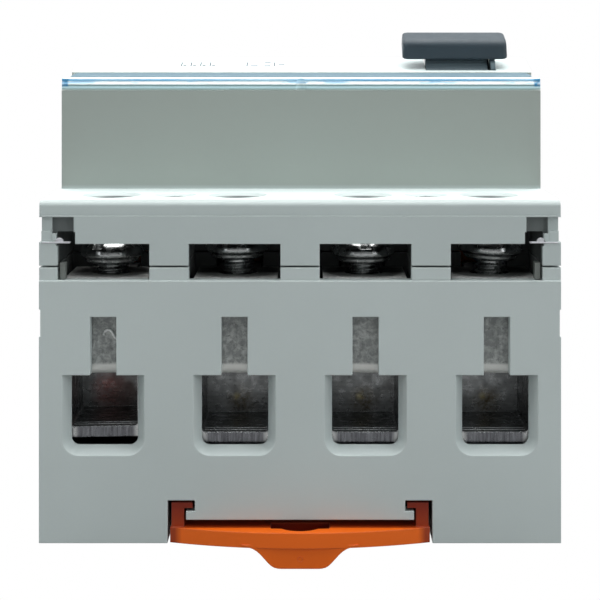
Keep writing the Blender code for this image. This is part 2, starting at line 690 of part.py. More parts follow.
# ---------------------------------------------------------------- rail latch
radius = (LATCH_HALF**2 + LATCH_SAG**2) / (2 * LATCH_SAG)
spread = math.degrees(math.asin(LATCH_HALF / radius))
front = arc(0, -HALF_D - LATCH_SAG + radius, radius, -90 - spread, -90 + spread, 12)
latch = outline(
    "rail_latch",
    [(LATCH_HALF, -18.2), (-LATCH_HALF, -18.2)] + front,
    "XY", -2.3, -0.24, PARTS, ORANGE,
)
# nose that reaches under the rail's edge
join(latch, outline(
    "latch_nose",
    [(-19.0, -2.3), (-16.2, -2.3), (-15.8, -1.9), (-15.8, -1.35), (-19.0, -1.35)],
    "YZ", -LATCH_HALF + 0.1, LATCH_HALF - 0.1,
))
for side in ENDS:
    join(latch, outline(
        f"latch_arm_{'left' if side < 0 else 'right'}",
        [(side * u, v) for u, v in (
            (17.5, -0.6), (17.5, 3.0), (14.6, 3.0), (14.6, 2.2), (15.8, 2.2), (15.8, -0.6)
        )],
        "XZ", -41.2, -27.0,
    ))
cut(latch, outline(
    "driver_slot",
    [(-4.0, -39.6), (4.0, -39.6), (4.0, -42.6), (2.2, -42.85), (0, -42.95), (-2.2, -42.85), (-4.0, -42.6)],
    "XY", -1.5, 1.0,
))
# the pull tab under the slot
join(latch, outline(
    "pull_tab",
    [(-7.2, -1.8), (-5.8, -2.6), (-3.1, -4.7), (-2.5, -5.1), (2.5, -5.1), (3.1, -4.7), (5.8, -2.6), (7.2, -1.8)],
    "XZ", -43.75, -42.3,
))
pivot(latch, 0, -HALF_D, -1.2)

for obj in PARTS.objects:
    if obj.type == "MESH":
        smooth(obj)
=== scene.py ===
"""Looks of the four-pole residual current device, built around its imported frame."""

import json
import math
import random

import bmesh
import bpy
from mathutils import Matrix

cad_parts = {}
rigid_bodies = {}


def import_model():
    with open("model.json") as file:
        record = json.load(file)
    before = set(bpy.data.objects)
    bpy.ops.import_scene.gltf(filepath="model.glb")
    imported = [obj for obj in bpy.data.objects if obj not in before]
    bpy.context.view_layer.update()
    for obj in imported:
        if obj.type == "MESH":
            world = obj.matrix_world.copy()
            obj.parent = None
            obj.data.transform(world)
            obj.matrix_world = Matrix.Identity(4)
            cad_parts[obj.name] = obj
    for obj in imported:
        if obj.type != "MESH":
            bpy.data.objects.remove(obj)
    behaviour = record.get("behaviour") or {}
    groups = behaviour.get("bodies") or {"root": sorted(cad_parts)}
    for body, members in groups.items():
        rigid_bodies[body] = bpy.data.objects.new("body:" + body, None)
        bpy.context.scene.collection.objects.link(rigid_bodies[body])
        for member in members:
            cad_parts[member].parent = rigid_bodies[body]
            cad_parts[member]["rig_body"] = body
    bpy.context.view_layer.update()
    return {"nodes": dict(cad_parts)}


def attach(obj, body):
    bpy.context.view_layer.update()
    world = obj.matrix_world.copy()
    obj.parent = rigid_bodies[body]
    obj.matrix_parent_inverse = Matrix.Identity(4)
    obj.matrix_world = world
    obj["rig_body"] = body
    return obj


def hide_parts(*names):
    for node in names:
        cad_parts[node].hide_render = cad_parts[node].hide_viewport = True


for thing in list(bpy.data.objects):
    bpy.data.objects.remove(thing, do_unlink=True)
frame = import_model()
NODES = frame["nodes"]
random.seed(7)

PARTS = bpy.data.collections.new("visual_pieces")
CUTTERS = bpy.data.collections.new("cutters")
for group in (PARTS, CUTTERS):
    bpy.context.scene.collection.children.link(group)
CUTTERS.hide_render = True

MM = 0.001

# Overall sizes of a four-module DIN-rail device
WIDTH = 71.0
HALF_W = WIDTH / 2
HALF_D = 41.5  # half of the 83 mm height of the case
NOSE_D = 22.5  # half of the 45 mm nose
BACK = -2.45  # back of the case, behind the rail's front plane
SPLIT_LOW, SPLIT_HIGH = 35.0, 35.25  # the parting line of base and cover
SHOULDER = 44.0
FACE_EDGE, FACE_STEP, FACE_TOP = 58.6, 61.1, 63.06

PITCH = 17.84
POLES = [(k - 1.5) * PITCH for k in range(4)]
SCREW_Y = 32.0

# Case walls and terminal bays
WALL = 2.0
BAY_HALF = 6.6
BAY_NEAR, BAY_FAR = 25.8, 39.5
BAY_FLOOR = 9.2
CAVITY_D = 24.4
CEILING = 42.3

# Openings in each end face
WINDOW_HALF, WINDOW_Z0, WINDOW_Z1 = 6.25, 33.27, 38.2
SLOT_HALF, SLOT_Z0, SLOT_Z1 = 1.78, 20.2, 28.29
ENTRY_OUTER = (11.2, 9.46, 2.3)  # width, lowest z, corner radius
ENTRY_INNER = (9.09, 10.54, 1.1)
ENTRY_TOP = 20.37

# Terminal clamp, M5
PLATE_Z0, PLATE_Z1 = 31.6, 33.1
SHELF_Z0, SHELF_Z1 = 19.9, 21.3
STRIP_Y = -7.2  # front of the bent conductor, from the screw's axis
CAGE_X, CAGE_WALL = 5.85, 1.2
CAGE_Y0, CAGE_Y1 = -6.9, 5.8
CAGE_Z0, CAGE_FLOOR, CAGE_ROOF, CAGE_Z1 = 10.6, 12.4, 22.4, 24.4
HEAD_Z, HEAD_R, SHANK_R = 35.15, 4.6, 2.4
SHANK_END = 22.3

# Toggle
TOGGLE_X, TOGGLE_Z = 24.6, 52.0
TOGGLE_R = 15.7
TOGGLE_TILT = math.radians(32.8)
CRANK_R = 4.15
PIN_R = 1.2

# Rail latch
LATCH_HALF = 17.65
LATCH_SAG = 2.8

# Test button
TEST_X, TEST_Y = -17.84, 17.2

# Label window
LABEL_HINGE = (-13.7, 60.4)  # y, z

# Contacts
CONTACT_Y = 7.2
CARRIER_Z0, CARRIER_Z1 = 41.6, 45.0

# Summation transformer, its axis along Y
RING_Z, RING_Y0, RING_Y1 = 14.6, -15.6, -5.5
WIRE_R = 1.1



# Studio levels
TOP_POWER = 6.9
FRONT_POWER = 0.25
SIDE_POWER = 2.0
WORLD_FRONT, WORLD_BACK, WORLD_UP = 0.0, 1.3, 0.0
SIDE_POWER = 1.7
FILL_POWER = 0.4
FLOOR_SHEEN = 0.5
FRONT_POWER = 0.6


# ---------------------------------------------------------------- helpers
def put(mesh, name, group, mat=None):
    obj = bpy.data.objects.new(name, mesh)
    group.objects.link(obj)
    if group is CUTTERS:
        obj.hide_render = True
        obj.display_type = "WIRE"
    if mat is not None:
        mesh.materials.clear()
        mesh.materials.append(mat)
    return obj


def scaled(mesh):
    mesh.transform(Matrix.Scale(MM, 4))
    return mesh


def boxes(name, extents, group=CUTTERS, mat=None):
    """One mesh of axis-aligned boxes, each given as x0, x1, y0, y1, z0, z1."""
    bm = bmesh.new()
    for x0, x1, y0, y1, z0, z1 in extents:
        place = Matrix.Translation(((x0 + x1) / 2, (y0 + y1) / 2, (z0 + z1) / 2))
        size = Matrix.Diagonal((abs(x1 - x0), abs(y1 - y0), abs(z1 - z0), 1))
        bmesh.ops.create_cube(bm, size=1, matrix=place @ size)
    mesh = bpy.data.meshes.new(name)
    bm.to_mesh(mesh)
    bm.free()
    return put(scaled(mesh), name, group, mat)


TURN = {
    "Z": Matrix.Identity(4),
    "X": Matrix.Rotation(math.radians(90), 4, "Y"),
    "Y": Matrix.Rotation(math.radians(-90), 4, "X"),
}


def cylinders(name, rods, axis="Z", segments=16, group=CUTTERS, mat=None):
    """One mesh of cylinders, each given as a, b, start, end, radius. a and b are the two other coordinates, in x, y, z order."""
    bm = bmesh.new()
    for a, b, start, end, radius in rods:
        middle = (start + end) / 2
        where = {"Z": (a, b, middle), "Y": (a, middle, b), "X": (middle, a, b)}[axis]
        bmesh.ops.create_cone(
            bm,
            cap_ends=True,
            segments=segments,
            radius1=radius,
            radius2=radius,
            depth=end - start,
            matrix=Matrix.Translation(where) @ TURN[axis],
        )
    mesh = bpy.data.meshes.new(name)
    bm.to_mesh(mesh)
    bm.free()
    return put(scaled(mesh), name, group, mat)


def as_mesh(obj, name, group, mat):
    """The evaluated object as a welded mesh object; the source is removed."""
    bpy.context.view_layer.update()
    graph = bpy.context.evaluated_depsgraph_get()
    evaluated = obj.evaluated_get(graph)
    mesh = bpy.data.meshes.new_from_object(evaluated)
    mesh.transform(evaluated.matrix_world)
    bm = bmesh.new()
    bm.from_mesh(mesh)
    bmesh.ops.remove_doubles(bm, verts=bm.verts, dist=1e-6)
    bmesh.ops.recalc_face_normals(bm, faces=bm.faces)
    bm.to_mesh(mesh)
    bm.free()
    bpy.data.objects.remove(obj, do_unlink=True)
    mesh.name = name
    return put(mesh, name, group, mat)


PLANES = {
    # columns: where the outline's first, second and extrusion directions go
    "YZ": Matrix(((0, 0, 1, 0), (1, 0, 0, 0), (0, 1, 0, 0), (0, 0, 0, 1))),
    "XZ": Matrix(((1, 0, 0, 0), (0, 0, -1, 0), (0, 1, 0, 0), (0, 0, 0, 1))),
    "XY": Matrix.Identity(4),
}
NORMAL = {"YZ": (1, 0, 0), "XZ": (0, 1, 0), "XY": (0, 0, 1)}


def outline(name, points, plane, low, high, group=CUTTERS, mat=None):
    """A flat outline extruded from low to high along the plane's normal."""
    curve = bpy.data.curves.new(name, "CURVE")
    curve.dimensions = "2D"
    curve.fill_mode = "BOTH"
    curve.extrude = (high - low) / 2 * MM
    spline = curve.splines.new("POLY")
    spline.points.add(len(points) - 1)
    for point, (u, v) in zip(spline.points, points):
        point.co = (u * MM, v * MM, 0, 1)
    spline.use_cyclic_u = True
    obj = bpy.data.objects.new(name + "_curve", curve)
    PARTS.objects.link(obj)
    shift = Matrix.Translation([n * (low + high) / 2 * MM for n in NORMAL[plane]])
    obj.matrix_world = shift @ PLANES[plane]
    return as_mesh(obj, name, group, mat)


def wire(name, points, radius, group=PARTS, mat=None, sides=2, cyclic=False):
    """A round wire through the points."""
    curve = bpy.data.curves.new(name, "CURVE")
    curve.dimensions = "3D"
    curve.bevel_depth = radius * MM
    curve.bevel_resolution = sides
    curve.use_fill_caps = True
    spline = curve.splines.new("POLY")
    spline.points.add(len(points) - 1)
    for point, (x, y, z) in zip(spline.points, points):
        point.co = (x * MM, y * MM, z * MM, 1)
    obj = bpy.data.objects.new(name + "_curve", curve)
    PARTS.objects.link(obj)
    return as_mesh(obj, name, group, mat)


def arc(cu, cv, radius, start, end, steps):
    """Points on an arc, angles in degrees."""
    return [
        (
            cu + radius * math.cos(math.radians(start + (end - start) * i / steps)),
            cv + radius * math.sin(math.radians(start + (end - start) * i / steps)),
        )
        for i in range(steps + 1)
    ]


def cut(obj, cutter, operation="DIFFERENCE"):
    mod = obj.modifiers.new(operation.lower(), "BOOLEAN")
    mod.operation = operation
    mod.object = cutter
    mod.solver = "EXACT"
    return obj


def join(obj, other):
    return cut(obj, other, "UNION")


def turned(name, profile, segments, group=PARTS, mat=None):
    """A turned piece about Z: the profile (radius, z) runs from the top of the axis down the outside to the bottom of the axis."""
    mesh = bpy.data.meshes.new(name)
    points = [(r * MM, 0, z * MM) for r, z in profile]
    mesh.from_pydata(points, [(i, i + 1) for i in range(len(points) - 1)], [])
    obj = put(mesh, name, group, mat)
    screw = obj.modifiers.new("turn", "SCREW")
    screw.axis = "Z"
    screw.steps = screw.render_steps = segments
    screw.use_merge_vertices = True
    screw.merge_threshold = 1e-6
    screw.use_normal_calculate = False
    return obj


def lofts(name, stacks, group=CUTTERS, mat=None):
    """Closed lofts, each through sections of equally many points."""
    bm = bmesh.new()
    for sections in stacks:
        rows = [[bm.verts.new(p) for p in section] for section in sections]
        count = len(rows[0])
        for low, high in zip(rows, rows[1:]):
            for i in range(count):
                j = (i + 1) % count
                bm.faces.new((low[i], low[j], high[j], high[i]))
        bm.faces.new(rows[0][::-1])
        bm.faces.new(rows[-1])
    bmesh.ops.recalc_face_normals(bm, faces=bm.faces)
    mesh = bpy.data.meshes.new(name)
    bm.to_mesh(mesh)
    bm.free()
    return put(scaled(mesh), name, group, mat)


def baked(obj):
    """The mesh after the modifiers, so that copies can share it."""
    bpy.context.view_layer.update()
    graph = bpy.context.evaluated_depsgraph_get()
    mesh = bpy.data.meshes.new_from_object(obj.evaluated_get(graph))
    mesh.name = obj.name
    bpy.data.objects.remove(obj, do_unlink=True)
    return mesh


ENDS = (-1, 1)


def at_end(end, y0, y1):
    """A y extent measured from the middle, at the chosen end."""
    return (y0, y1) if end > 0 else (-y1, -y0)




# ---------------------------------------------------------------- materials
class Graph:
    """A small wrapper that keeps node set-ups readable."""

    def __init__(self, name):
        self.mat = bpy.data.materials.new(name)
        self.mat.use_nodes = True
        self.tree = self.mat.node_tree
        self.shader = self.tree.nodes["Principled BSDF"]
        self.where = self.add("ShaderNodeTexCoord").outputs["Object"]

    def add(self, kind, **settings):
        node = self.tree.nodes.new(kind)
        for key, value in settings.items():
            setattr(node, key, value)
        return node

    def link(self, out, into):
        self.tree.links.new(out, into)

    def put(self, into, value):
        if isinstance(value, (int, float)):
            into.default_value = value
        elif isinstance(value, tuple):
            into.default_value = (*value, 1) if len(value) == 3 and into.type == "RGBA" else value
        else:
            self.link(value, into)

    def stretched(self, scale, where=None):
        node = self.add("ShaderNodeMapping")
        node.inputs["Scale"].default_value = scale
        self.link(where or self.where, node.inputs["Vector"])
        return node.outputs["Vector"]

    def noise(self, scale, detail=3.0, rough=0.55, where=None, distortion=0.0):
        node = self.add("ShaderNodeTexNoise")
        node.inputs["Scale"].default_value = scale
        node.inputs["Detail"].default_value = detail
        node.inputs["Roughness"].default_value = rough
        node.inputs["Distortion"].default_value = distortion
        self.link(where or self.where, node.inputs["Vector"])
        return node.outputs["Fac"]

    def ramp(self, value, low, high, out_low=0.0, out_high=1.0):
        node = self.add("ShaderNodeMapRange")
        node.clamp = True
        self.put(node.inputs["Value"], value)
        for key, number in zip(("From Min", "From Max", "To Min", "To Max"), (low, high, out_low, out_high)):
            node.inputs[key].default_value = number
        return node.outputs["Result"]

    def mix(self, fac, a, b, kind="MIX"):
        node = self.add("ShaderNodeMix", data_type="RGBA", blend_type=kind)
        self.put(node.inputs[0], fac)
        self.put(node.inputs[6], a)
        self.put(node.inputs[7], b)
        return node.outputs[2]

    def math(self, kind, a, b=0.0):
        node = self.add("ShaderNodeMath", operation=kind)
        self.put(node.inputs[0], a)
        self.put(node.inputs[1], b)
        return node.outputs[0]

    def bump(self, height, distance, strength=1.0, normal=None):
        node = self.add("ShaderNodeBump")
        node.inputs["Strength"].default_value = strength
        node.inputs["Distance"].default_value = distance
        self.put(node.inputs["Height"], height)
        if normal is not None:
            self.link(normal, node.inputs["Normal"])
        return node.outputs["Normal"]

    def edge(self, radius, samples=6):
        """How near an edge is: 0 on a flat, towards 1 along a convex or concave edge."""
        bevel = self.add("ShaderNodeBevel", samples=samples)
        bevel.inputs["Radius"].default_value = radius
        geometry = self.add("ShaderNodeNewGeometry")
        dot = self.add("ShaderNodeVectorMath", operation="DOT_PRODUCT")
        self.link(bevel.outputs["Normal"], dot.inputs[0])
        self.link(geometry.outputs["Normal"], dot.inputs[1])
        return self.ramp(dot.outputs["Value"], 0.97, 0.75, 0.0, 1.0), bevel.outputs["Normal"]

    def done(self, colour, roughness, metallic=0.0, normal=None, **more):
        self.put(self.shader.inputs["Base Color"], colour)
        self.put(self.shader.inputs["Roughness"], roughness)
        self.shader.inputs["Metallic"].default_value = metallic
        if normal is not None:
            self.link(normal, self.shader.inputs["Normal"])
        for key, value in more.items():
            self.put(self.shader.inputs[key.replace("_", " ")], value)
        return self.mat


def moulded(name, colour, rough=0.5, mottle=0.035, grain=0.5, specks=0.0, scuff=0.3, edge_highlight=0.06, spec=0.4, zones=False):
    """Moulded plastic: fine spark-eroded grain, slow tone drift, faint scuffs, painted highlights along the edges and a
    few dust specks; the zones add painted light and shade.
    """
    g = Graph(name)
    drift = g.noise(38, 3)
    light = tuple(min(1.0, c * (1 + mottle)) for c in colour)
    dark = tuple(c * (1 - mottle) for c in colour)
    tone = g.mix(g.ramp(drift, 0.3, 0.7), dark, light)
    fine = g.noise(5200, 2, 0.6)
    tone = g.mix(g.ramp(fine, 0.25, 0.75, 0.0, 0.10), tone, tuple(c * 0.8 for c in colour))
    if zones in ("base", "cover"):
        split = g.add("ShaderNodeSeparateXYZ")
        g.link(g.where, split.inputs[0])
        x, y, z = (split.outputs[axis] for axis in "XYZ")
        across, along = g.math("ABSOLUTE", x), g.math("ABSOLUTE", y)
        facing = g.add("ShaderNodeSeparateXYZ")
        g.link(g.add("ShaderNodeNewGeometry").outputs["Normal"], facing.inputs[0])
        up = facing.outputs["Z"]
        # painted shade inside the terminal bays, and a first step of it just behind the end face
        within = g.math("MULTIPLY", g.ramp(across, 0.0344, 0.0340), g.ramp(z, 0.0008, 0.0012))
        if zones == "cover":
            # painted shade on the nose's upright faces, and painted light on the shoulder's flat top
            shaded_nose_tone = tuple(c * k for c, k in zip(colour, (0.69, 0.68, 0.64)))
            tone = g.mix(g.math("MULTIPLY", g.ramp(z, 0.0440, 0.0446), g.ramp(up, 0.6, 0.3)), tone, shaded_nose_tone)
            lit_shoulder_top = g.math("MULTIPLY", g.ramp(up, 0.5, 0.9), g.ramp(z, 0.0475, 0.0470))
            tone = g.mix(lit_shoulder_top, tone, tuple(min(1.0, c * 1.25) for c in colour))
            # painted shade on the shoulder's top, darker towards its rounded front edge
            rolled = g.math("MULTIPLY", g.math("MULTIPLY", g.ramp(up, 0.4, 0.8), g.ramp(z, 0.0475, 0.0470)), g.ramp(along, 0.0370, 0.0402, 0.0, 0.55))
            tone = g.mix(rolled, tone, tuple(c * 0.30 for c in colour))
            # painted light on the nose's up-facing top
            tone = g.mix(g.math("MULTIPLY", g.ramp(up, 0.7, 0.9), g.ramp(z, 0.0595, 0.0600)), tone, tuple(min(1.0, c * 1.25) for c in colour))
            # painted shade on the small up-facing ledge at the upper step of the end face
            step = g.math("MULTIPLY", g.ramp(up, 0.15, 0.4), g.math("MULTIPLY", g.ramp(z, 0.0424, 0.0423), g.ramp(z, 0.0416, 0.0417)))
            tone = g.mix(g.math("MULTIPLY", step, g.ramp(along, 0.0407, 0.0410, 0.0, 0.75)), tone, tuple(c * 0.35 for c in colour))
            within = g.math("MULTIPLY", within, g.ramp(z, 0.0436, 0.0432))
            tone = g.mix(g.math("MULTIPLY", within, g.ramp(along, 0.0406, 0.0404)), tone, tuple(c * 0.30 for c in colour))
        near_wall = 0.0397 if zones == "cover" else 0.0393
        tone = g.mix(g.math("MULTIPLY", within, g.ramp(along, near_wall, near_wall - 0.0003)), tone, tuple(c * 0.10 for c in colour))
    if zones == "latch":
        split = g.add("ShaderNodeSeparateXYZ")
        g.link(g.where, split.inputs[0])
        x, y, z = (split.outputs[axis] for axis in "XYZ")
        across, along = g.math("ABSOLUTE", x), g.math("MULTIPLY", y, -1.0)
        # painted shade: on the hooked arms up in the pocket, on the plate's top where it runs under the housing, and in
        # the pull slot
        arms = g.math("MULTIPLY", g.ramp(across, 0.0138, 0.0142), g.ramp(z, -0.0006, 0.0024, 0.0, 0.85))
        tone = g.mix(arms, tone, (0.16, 0.016, 0.002))
        tone = g.mix(g.ramp(along, 0.0420, 0.0417, 0.0, 0.8), tone, (0.20, 0.012, 0.002))
        slot = g.math("MULTIPLY", g.ramp(across, 0.0043, 0.0041), g.math("MULTIPLY", g.ramp(along, 0.0436, 0.0434), g.ramp(z, -0.00030, -0.00036)))
        tone = g.mix(g.math("MULTIPLY", slot, g.math("MULTIPLY", g.ramp(z, -0.0019, -0.0017), 0.85)), tone, (0.18, 0.010, 0.002))
    # long faint scuffs, in two directions
    hair_a = g.noise(1.0, 2, 0.5, g.stretched((160, 160, 5200)), 0.4)
    hair_b = g.noise(1.0, 2, 0.5, g.stretched((5200, 900, 170)), 0.4)
    place = g.ramp(g.noise(90, 2), 0.52, 0.68)
    hairs = g.math("MULTIPLY", g.math("MAXIMUM", g.ramp(hair_a, 0.70, 0.78), g.ramp(hair_b, 0.71, 0.79)), place)
    tone = g.mix(g.math("MULTIPLY", hairs, scuff * 0.35), tone, tuple(min(1.0, c * 1.25) for c in colour))
    if specks:
        cells = g.add("ShaderNodeTexVoronoi")
        cells.inputs["Scale"].default_value = 210
        g.link(g.where, cells.inputs["Vector"])
        split = g.add("ShaderNodeSeparateColor")
        g.link(cells.outputs["Color"], split.inputs["Color"])
        chosen = g.ramp(split.outputs["Red"], 1 - specks, 1 - specks + 0.002)
        dot = g.ramp(cells.outputs["Distance"], 0.045, 0.02)
        tone = g.mix(g.math("MULTIPLY", g.math("MULTIPLY", chosen, dot), 0.75), tone, (0.05, 0.05, 0.05))
    # painted highlights along the edges
    near, soft = g.edge(0.00018)
    tone = g.mix(g.math("MULTIPLY", near, edge_highlight), tone, (0.95, 0.97, 0.97))
    height = g.math("ADD", g.math("MULTIPLY", fine, grain), g.math("MULTIPLY", g.noise(1500, 3), grain * 0.7))
    height = g.math("SUBTRACT", height, g.math("MULTIPLY", hairs, 0.5))
    normal = g.bump(height, 0.000012, 0.7, soft)
    roughness = g.ramp(g.noise(420, 4), 0.3, 0.7, rough - 0.05, rough + 0.07)
    return g.done(tone, roughness, 0.0, normal, IOR=1.49, Specular_IOR_Level=spec)


def plated(name, colour, rough=0.3, dull=0.35, stain=0.0, stain_colour=(0.12, 0.07, 0.03), brushed="x", edge_wear_and_highlight=0.5, dents=1.0, metal=1.0, zone=None):
    """Plated metal: drawn lines, cloudy dulling, pits, stains, and bright edges that are partly rubbed wear and partly
    painted highlight.
    """
    g = Graph(name)
    scale = {"x": (120, 2600, 2600), "y": (2600, 120, 2600), "z": (2600, 2600, 120), "none": (900, 900, 900)}[brushed]
    lines = g.noise(1.0, 4, 0.65, g.stretched(scale), 0.2)
    cloud = g.noise(420, 6, 0.65, None, 0.6)
    pits = g.noise(2100, 3, 0.6)
    dark = tuple(c * (1 - dull) for c in colour)
    tone = g.mix(g.ramp(cloud, 0.36, 0.62), dark, colour)
    tone = g.mix(g.ramp(lines, 0.35, 0.75, 0.0, 0.35), tone, tuple(min(1.0, c * 1.35) for c in colour))
    tone = g.mix(g.ramp(pits, 0.60, 0.72, 0.0, 0.7), tone, tuple(c * 0.25 for c in colour))
    if stain:
        patch = g.ramp(g.noise(230, 4, 0.6, None, 1.2), 0.5, 0.66, 0.0, stain)
        tone = g.mix(patch, tone, stain_colour)
    if zone:
        tone = zone(g, tone)
    # edges lightened, partly as rubbed wear and partly as a painted highlight
    near, soft = g.edge(0.00015)
    tone = g.mix(g.math("MULTIPLY", near, edge_wear_and_highlight), tone, tuple(min(1.0, c * 1.7 + 0.08) for c in colour))
    height = g.math("ADD", g.math("MULTIPLY", lines, 0.6), g.math("SUBTRACT", cloud, g.math("MULTIPLY", pits, 0.6)))
    normal = g.bump(height, 0.00004 * dents, 0.8, soft)
    roughness = g.ramp(g.noise(800, 4), 0.3, 0.72, rough - 0.08, rough + 0.2)
    return g.done(tone, roughness, metal, normal)


BASE_GREY = moulded("case_grey", (0.515, 0.58, 0.575), 0.5, 0.03, 0.5, 0.020, edge_highlight=0.22, zones="base")
COVER_GREY = moulded("cover_grey", (0.48, 0.545, 0.54), 0.48, 0.03, 0.45, 0.016, edge_highlight=0.14, zones="cover")
# a lighter copy of the cover grey: painted light on the thin ledges and nubs
LEDGE_GREY = moulded("cover_grey_lit", (0.56, 0.57, 0.60), 0.5, 0.03, 0.45)
# a dark copy of the case grey: painted shade on the ribs in the bays' corners
RIB_GREY = moulded("rib_grey_shaded", (0.16, 0.175, 0.165), 0.5)
ORANGE_MAT = moulded("latch_orange", (0.86, 0.145, 0.006), 0.42, 0.05, 0.8, 0.0, 0.5, 0.05, 0.35, zones="latch")
TOGGLE_MAT = moulded("toggle_grey", (0.028, 0.043, 0.055), 0.46, 0.08, 0.5, 0.0, 0.8, 0.06, 0.30)
# a lighter copy of the toggle grey: painted light on the neck and its rib
NECK_MAT = moulded("toggle_grey_neck_lit", (0.12, 0.165, 0.185), 0.45, 0.08, 0.5, 0.0, 0.5, 0.10, 0.4)
BUTTON_MAT = moulded("button_grey", (0.05, 0.07, 0.085), 0.4, 0.06, 0.8, 0.0, 0.6, 0.10)
BLACK_MAT = moulded("black_plastic", (0.018, 0.018, 0.02), 0.45, 0.1, 0.9, 0.0, 0.8, 0.12)
BEIGE_MAT = moulded("relay_beige", (0.55, 0.47, 0.33), 0.5, 0.05)
CARD_MAT = moulded("card_white", (0.82, 0.83, 0.82), 0.7, 0.02, 0.3, 0.0, 0.0, 0.0, 0.2)
PRINT_MAT = moulded("grey_print", (0.10, 0.12, 0.14), 0.6, 0.1, 0.3, 0.0, 0.0, 0.0, 0.2)


def local(g):
    """Position about the nearest pole: across, along from the middle, and height, as sockets."""
    split = g.add("ShaderNodeSeparateXYZ")
    g.link(g.where, split.inputs[0])
    cell = g.math("FRACT", g.math("ADD", g.math("DIVIDE", split.outputs["X"], PITCH * MM), 10.0))
    across = g.math("MULTIPLY", g.math("SUBTRACT", cell, 0.5), PITCH * MM)
    return across, g.math("ABSOLUTE", split.outputs["Y"]), split.outputs["Z"], split.outputs["X"]


def spot(g, u, v, cu, cv, radius, soft):
    """A soft round spot in the plane of two sockets."""
    du, dv = g.math("SUBTRACT", u, cu), g.math("SUBTRACT", v, cv)
    far = g.math("SQRT", g.math("ADD", g.math("MULTIPLY", du, du), g.math("MULTIPLY", dv, dv)))
    return g.ramp(g.math("ADD", far, g.math("MULTIPLY", g.math("SUBTRACT", g.noise(700, 4), 0.5), soft * 1.5)), radius + soft, radius - soft)


def cage_zone(g, tone):
    """Wire stains on the back wall, a drawn, striated front edge with painted highlights at its corners, and painted
    shade in the room behind it.
    """
    across, along, z, x = local(g)
    back = g.ramp(along, 0.0285, 0.0275)
    ink = g.noise(1900, 5, 0.7)
    red = g.math("MULTIPLY", g.math("MULTIPLY", back, g.ramp(x, -0.020, -0.0205)), spot(g, across, z, -0.0007, 0.0150, 0.0024, 0.0012))
    tone = g.mix(g.math("MULTIPLY", red, g.ramp(ink, 0.3, 0.7, 0.35, 0.95)), tone, (0.26, 0.075, 0.065))
    core = g.math("MULTIPLY", g.math("MULTIPLY", back, g.ramp(x, -0.020, -0.0205)), spot(g, across, z, 0.0014, 0.0147, 0.0026, 0.0013))
    tone = g.mix(g.math("MULTIPLY", core, 0.8), tone, (0.085, 0.062, 0.058))
    brown = g.math("MULTIPLY", g.math("MULTIPLY", back, g.ramp(x, -0.0205, -0.020)), spot(g, across, z, 0.0002, 0.0136, 0.0016, 0.0010))
    tone = g.mix(g.math("MULTIPLY", brown, g.ramp(ink, 0.35, 0.65, 0.25, 0.95)), tone, (0.085, 0.062, 0.022))
    pale = g.math("MULTIPLY", g.math("MULTIPLY", back, g.ramp(x, -0.0205, -0.020)), spot(g, across, z, -0.0004, 0.0143, 0.0003, 0.0004))
    tone = g.mix(g.math("MULTIPLY", pale, 0.8), tone, (0.45, 0.40, 0.22))
    # the strap's cheeks and floor sit in the wire room's own shade
    facing = g.add("ShaderNodeSeparateXYZ")
    g.link(g.add("ShaderNodeNewGeometry").outputs["Normal"], facing.inputs[0])
    cheek = g.math("MULTIPLY", g.ramp(g.math("ABSOLUTE", facing.outputs["X"]), 0.6, 0.8), g.ramp(g.math("ABSOLUTE", across), 0.0052, 0.0050))
    tone = g.mix(g.math("MULTIPLY", cheek, 0.8), tone, (0.045, 0.05, 0.052))
    deep = g.math("MULTIPLY", g.ramp(facing.outputs["Z"], 0.5, 0.8), g.math("MULTIPLY", g.ramp(z, 0.0150, 0.0145), g.ramp(along, 0.0386, 0.0378)))
    tone = g.mix(g.math("MULTIPLY", deep, 0.7), tone, (0.06, 0.065, 0.066))
    # sheared front edge: upright striations
    lip = g.math("MULTIPLY", g.ramp(along, 0.0385, 0.0388), g.ramp(z, 0.0165, 0.0160))
    shear = g.noise(1.0, 4, 0.7, g.stretched((4200, 300, 260)), 0.2)
    cut_tone = g.mix(g.ramp(shear, 0.32, 0.70), (0.07, 0.07, 0.08), (0.30, 0.31, 0.33))
    # painted highlights at both ends of the front edge
    corner = g.ramp(g.math("ABSOLUTE", across), 0.0037, 0.0043)
    cut_tone = g.mix(g.math("MULTIPLY", corner, 0.8), cut_tone, (0.75, 0.77, 0.76))
    return g.mix(lip, tone, cut_tone)


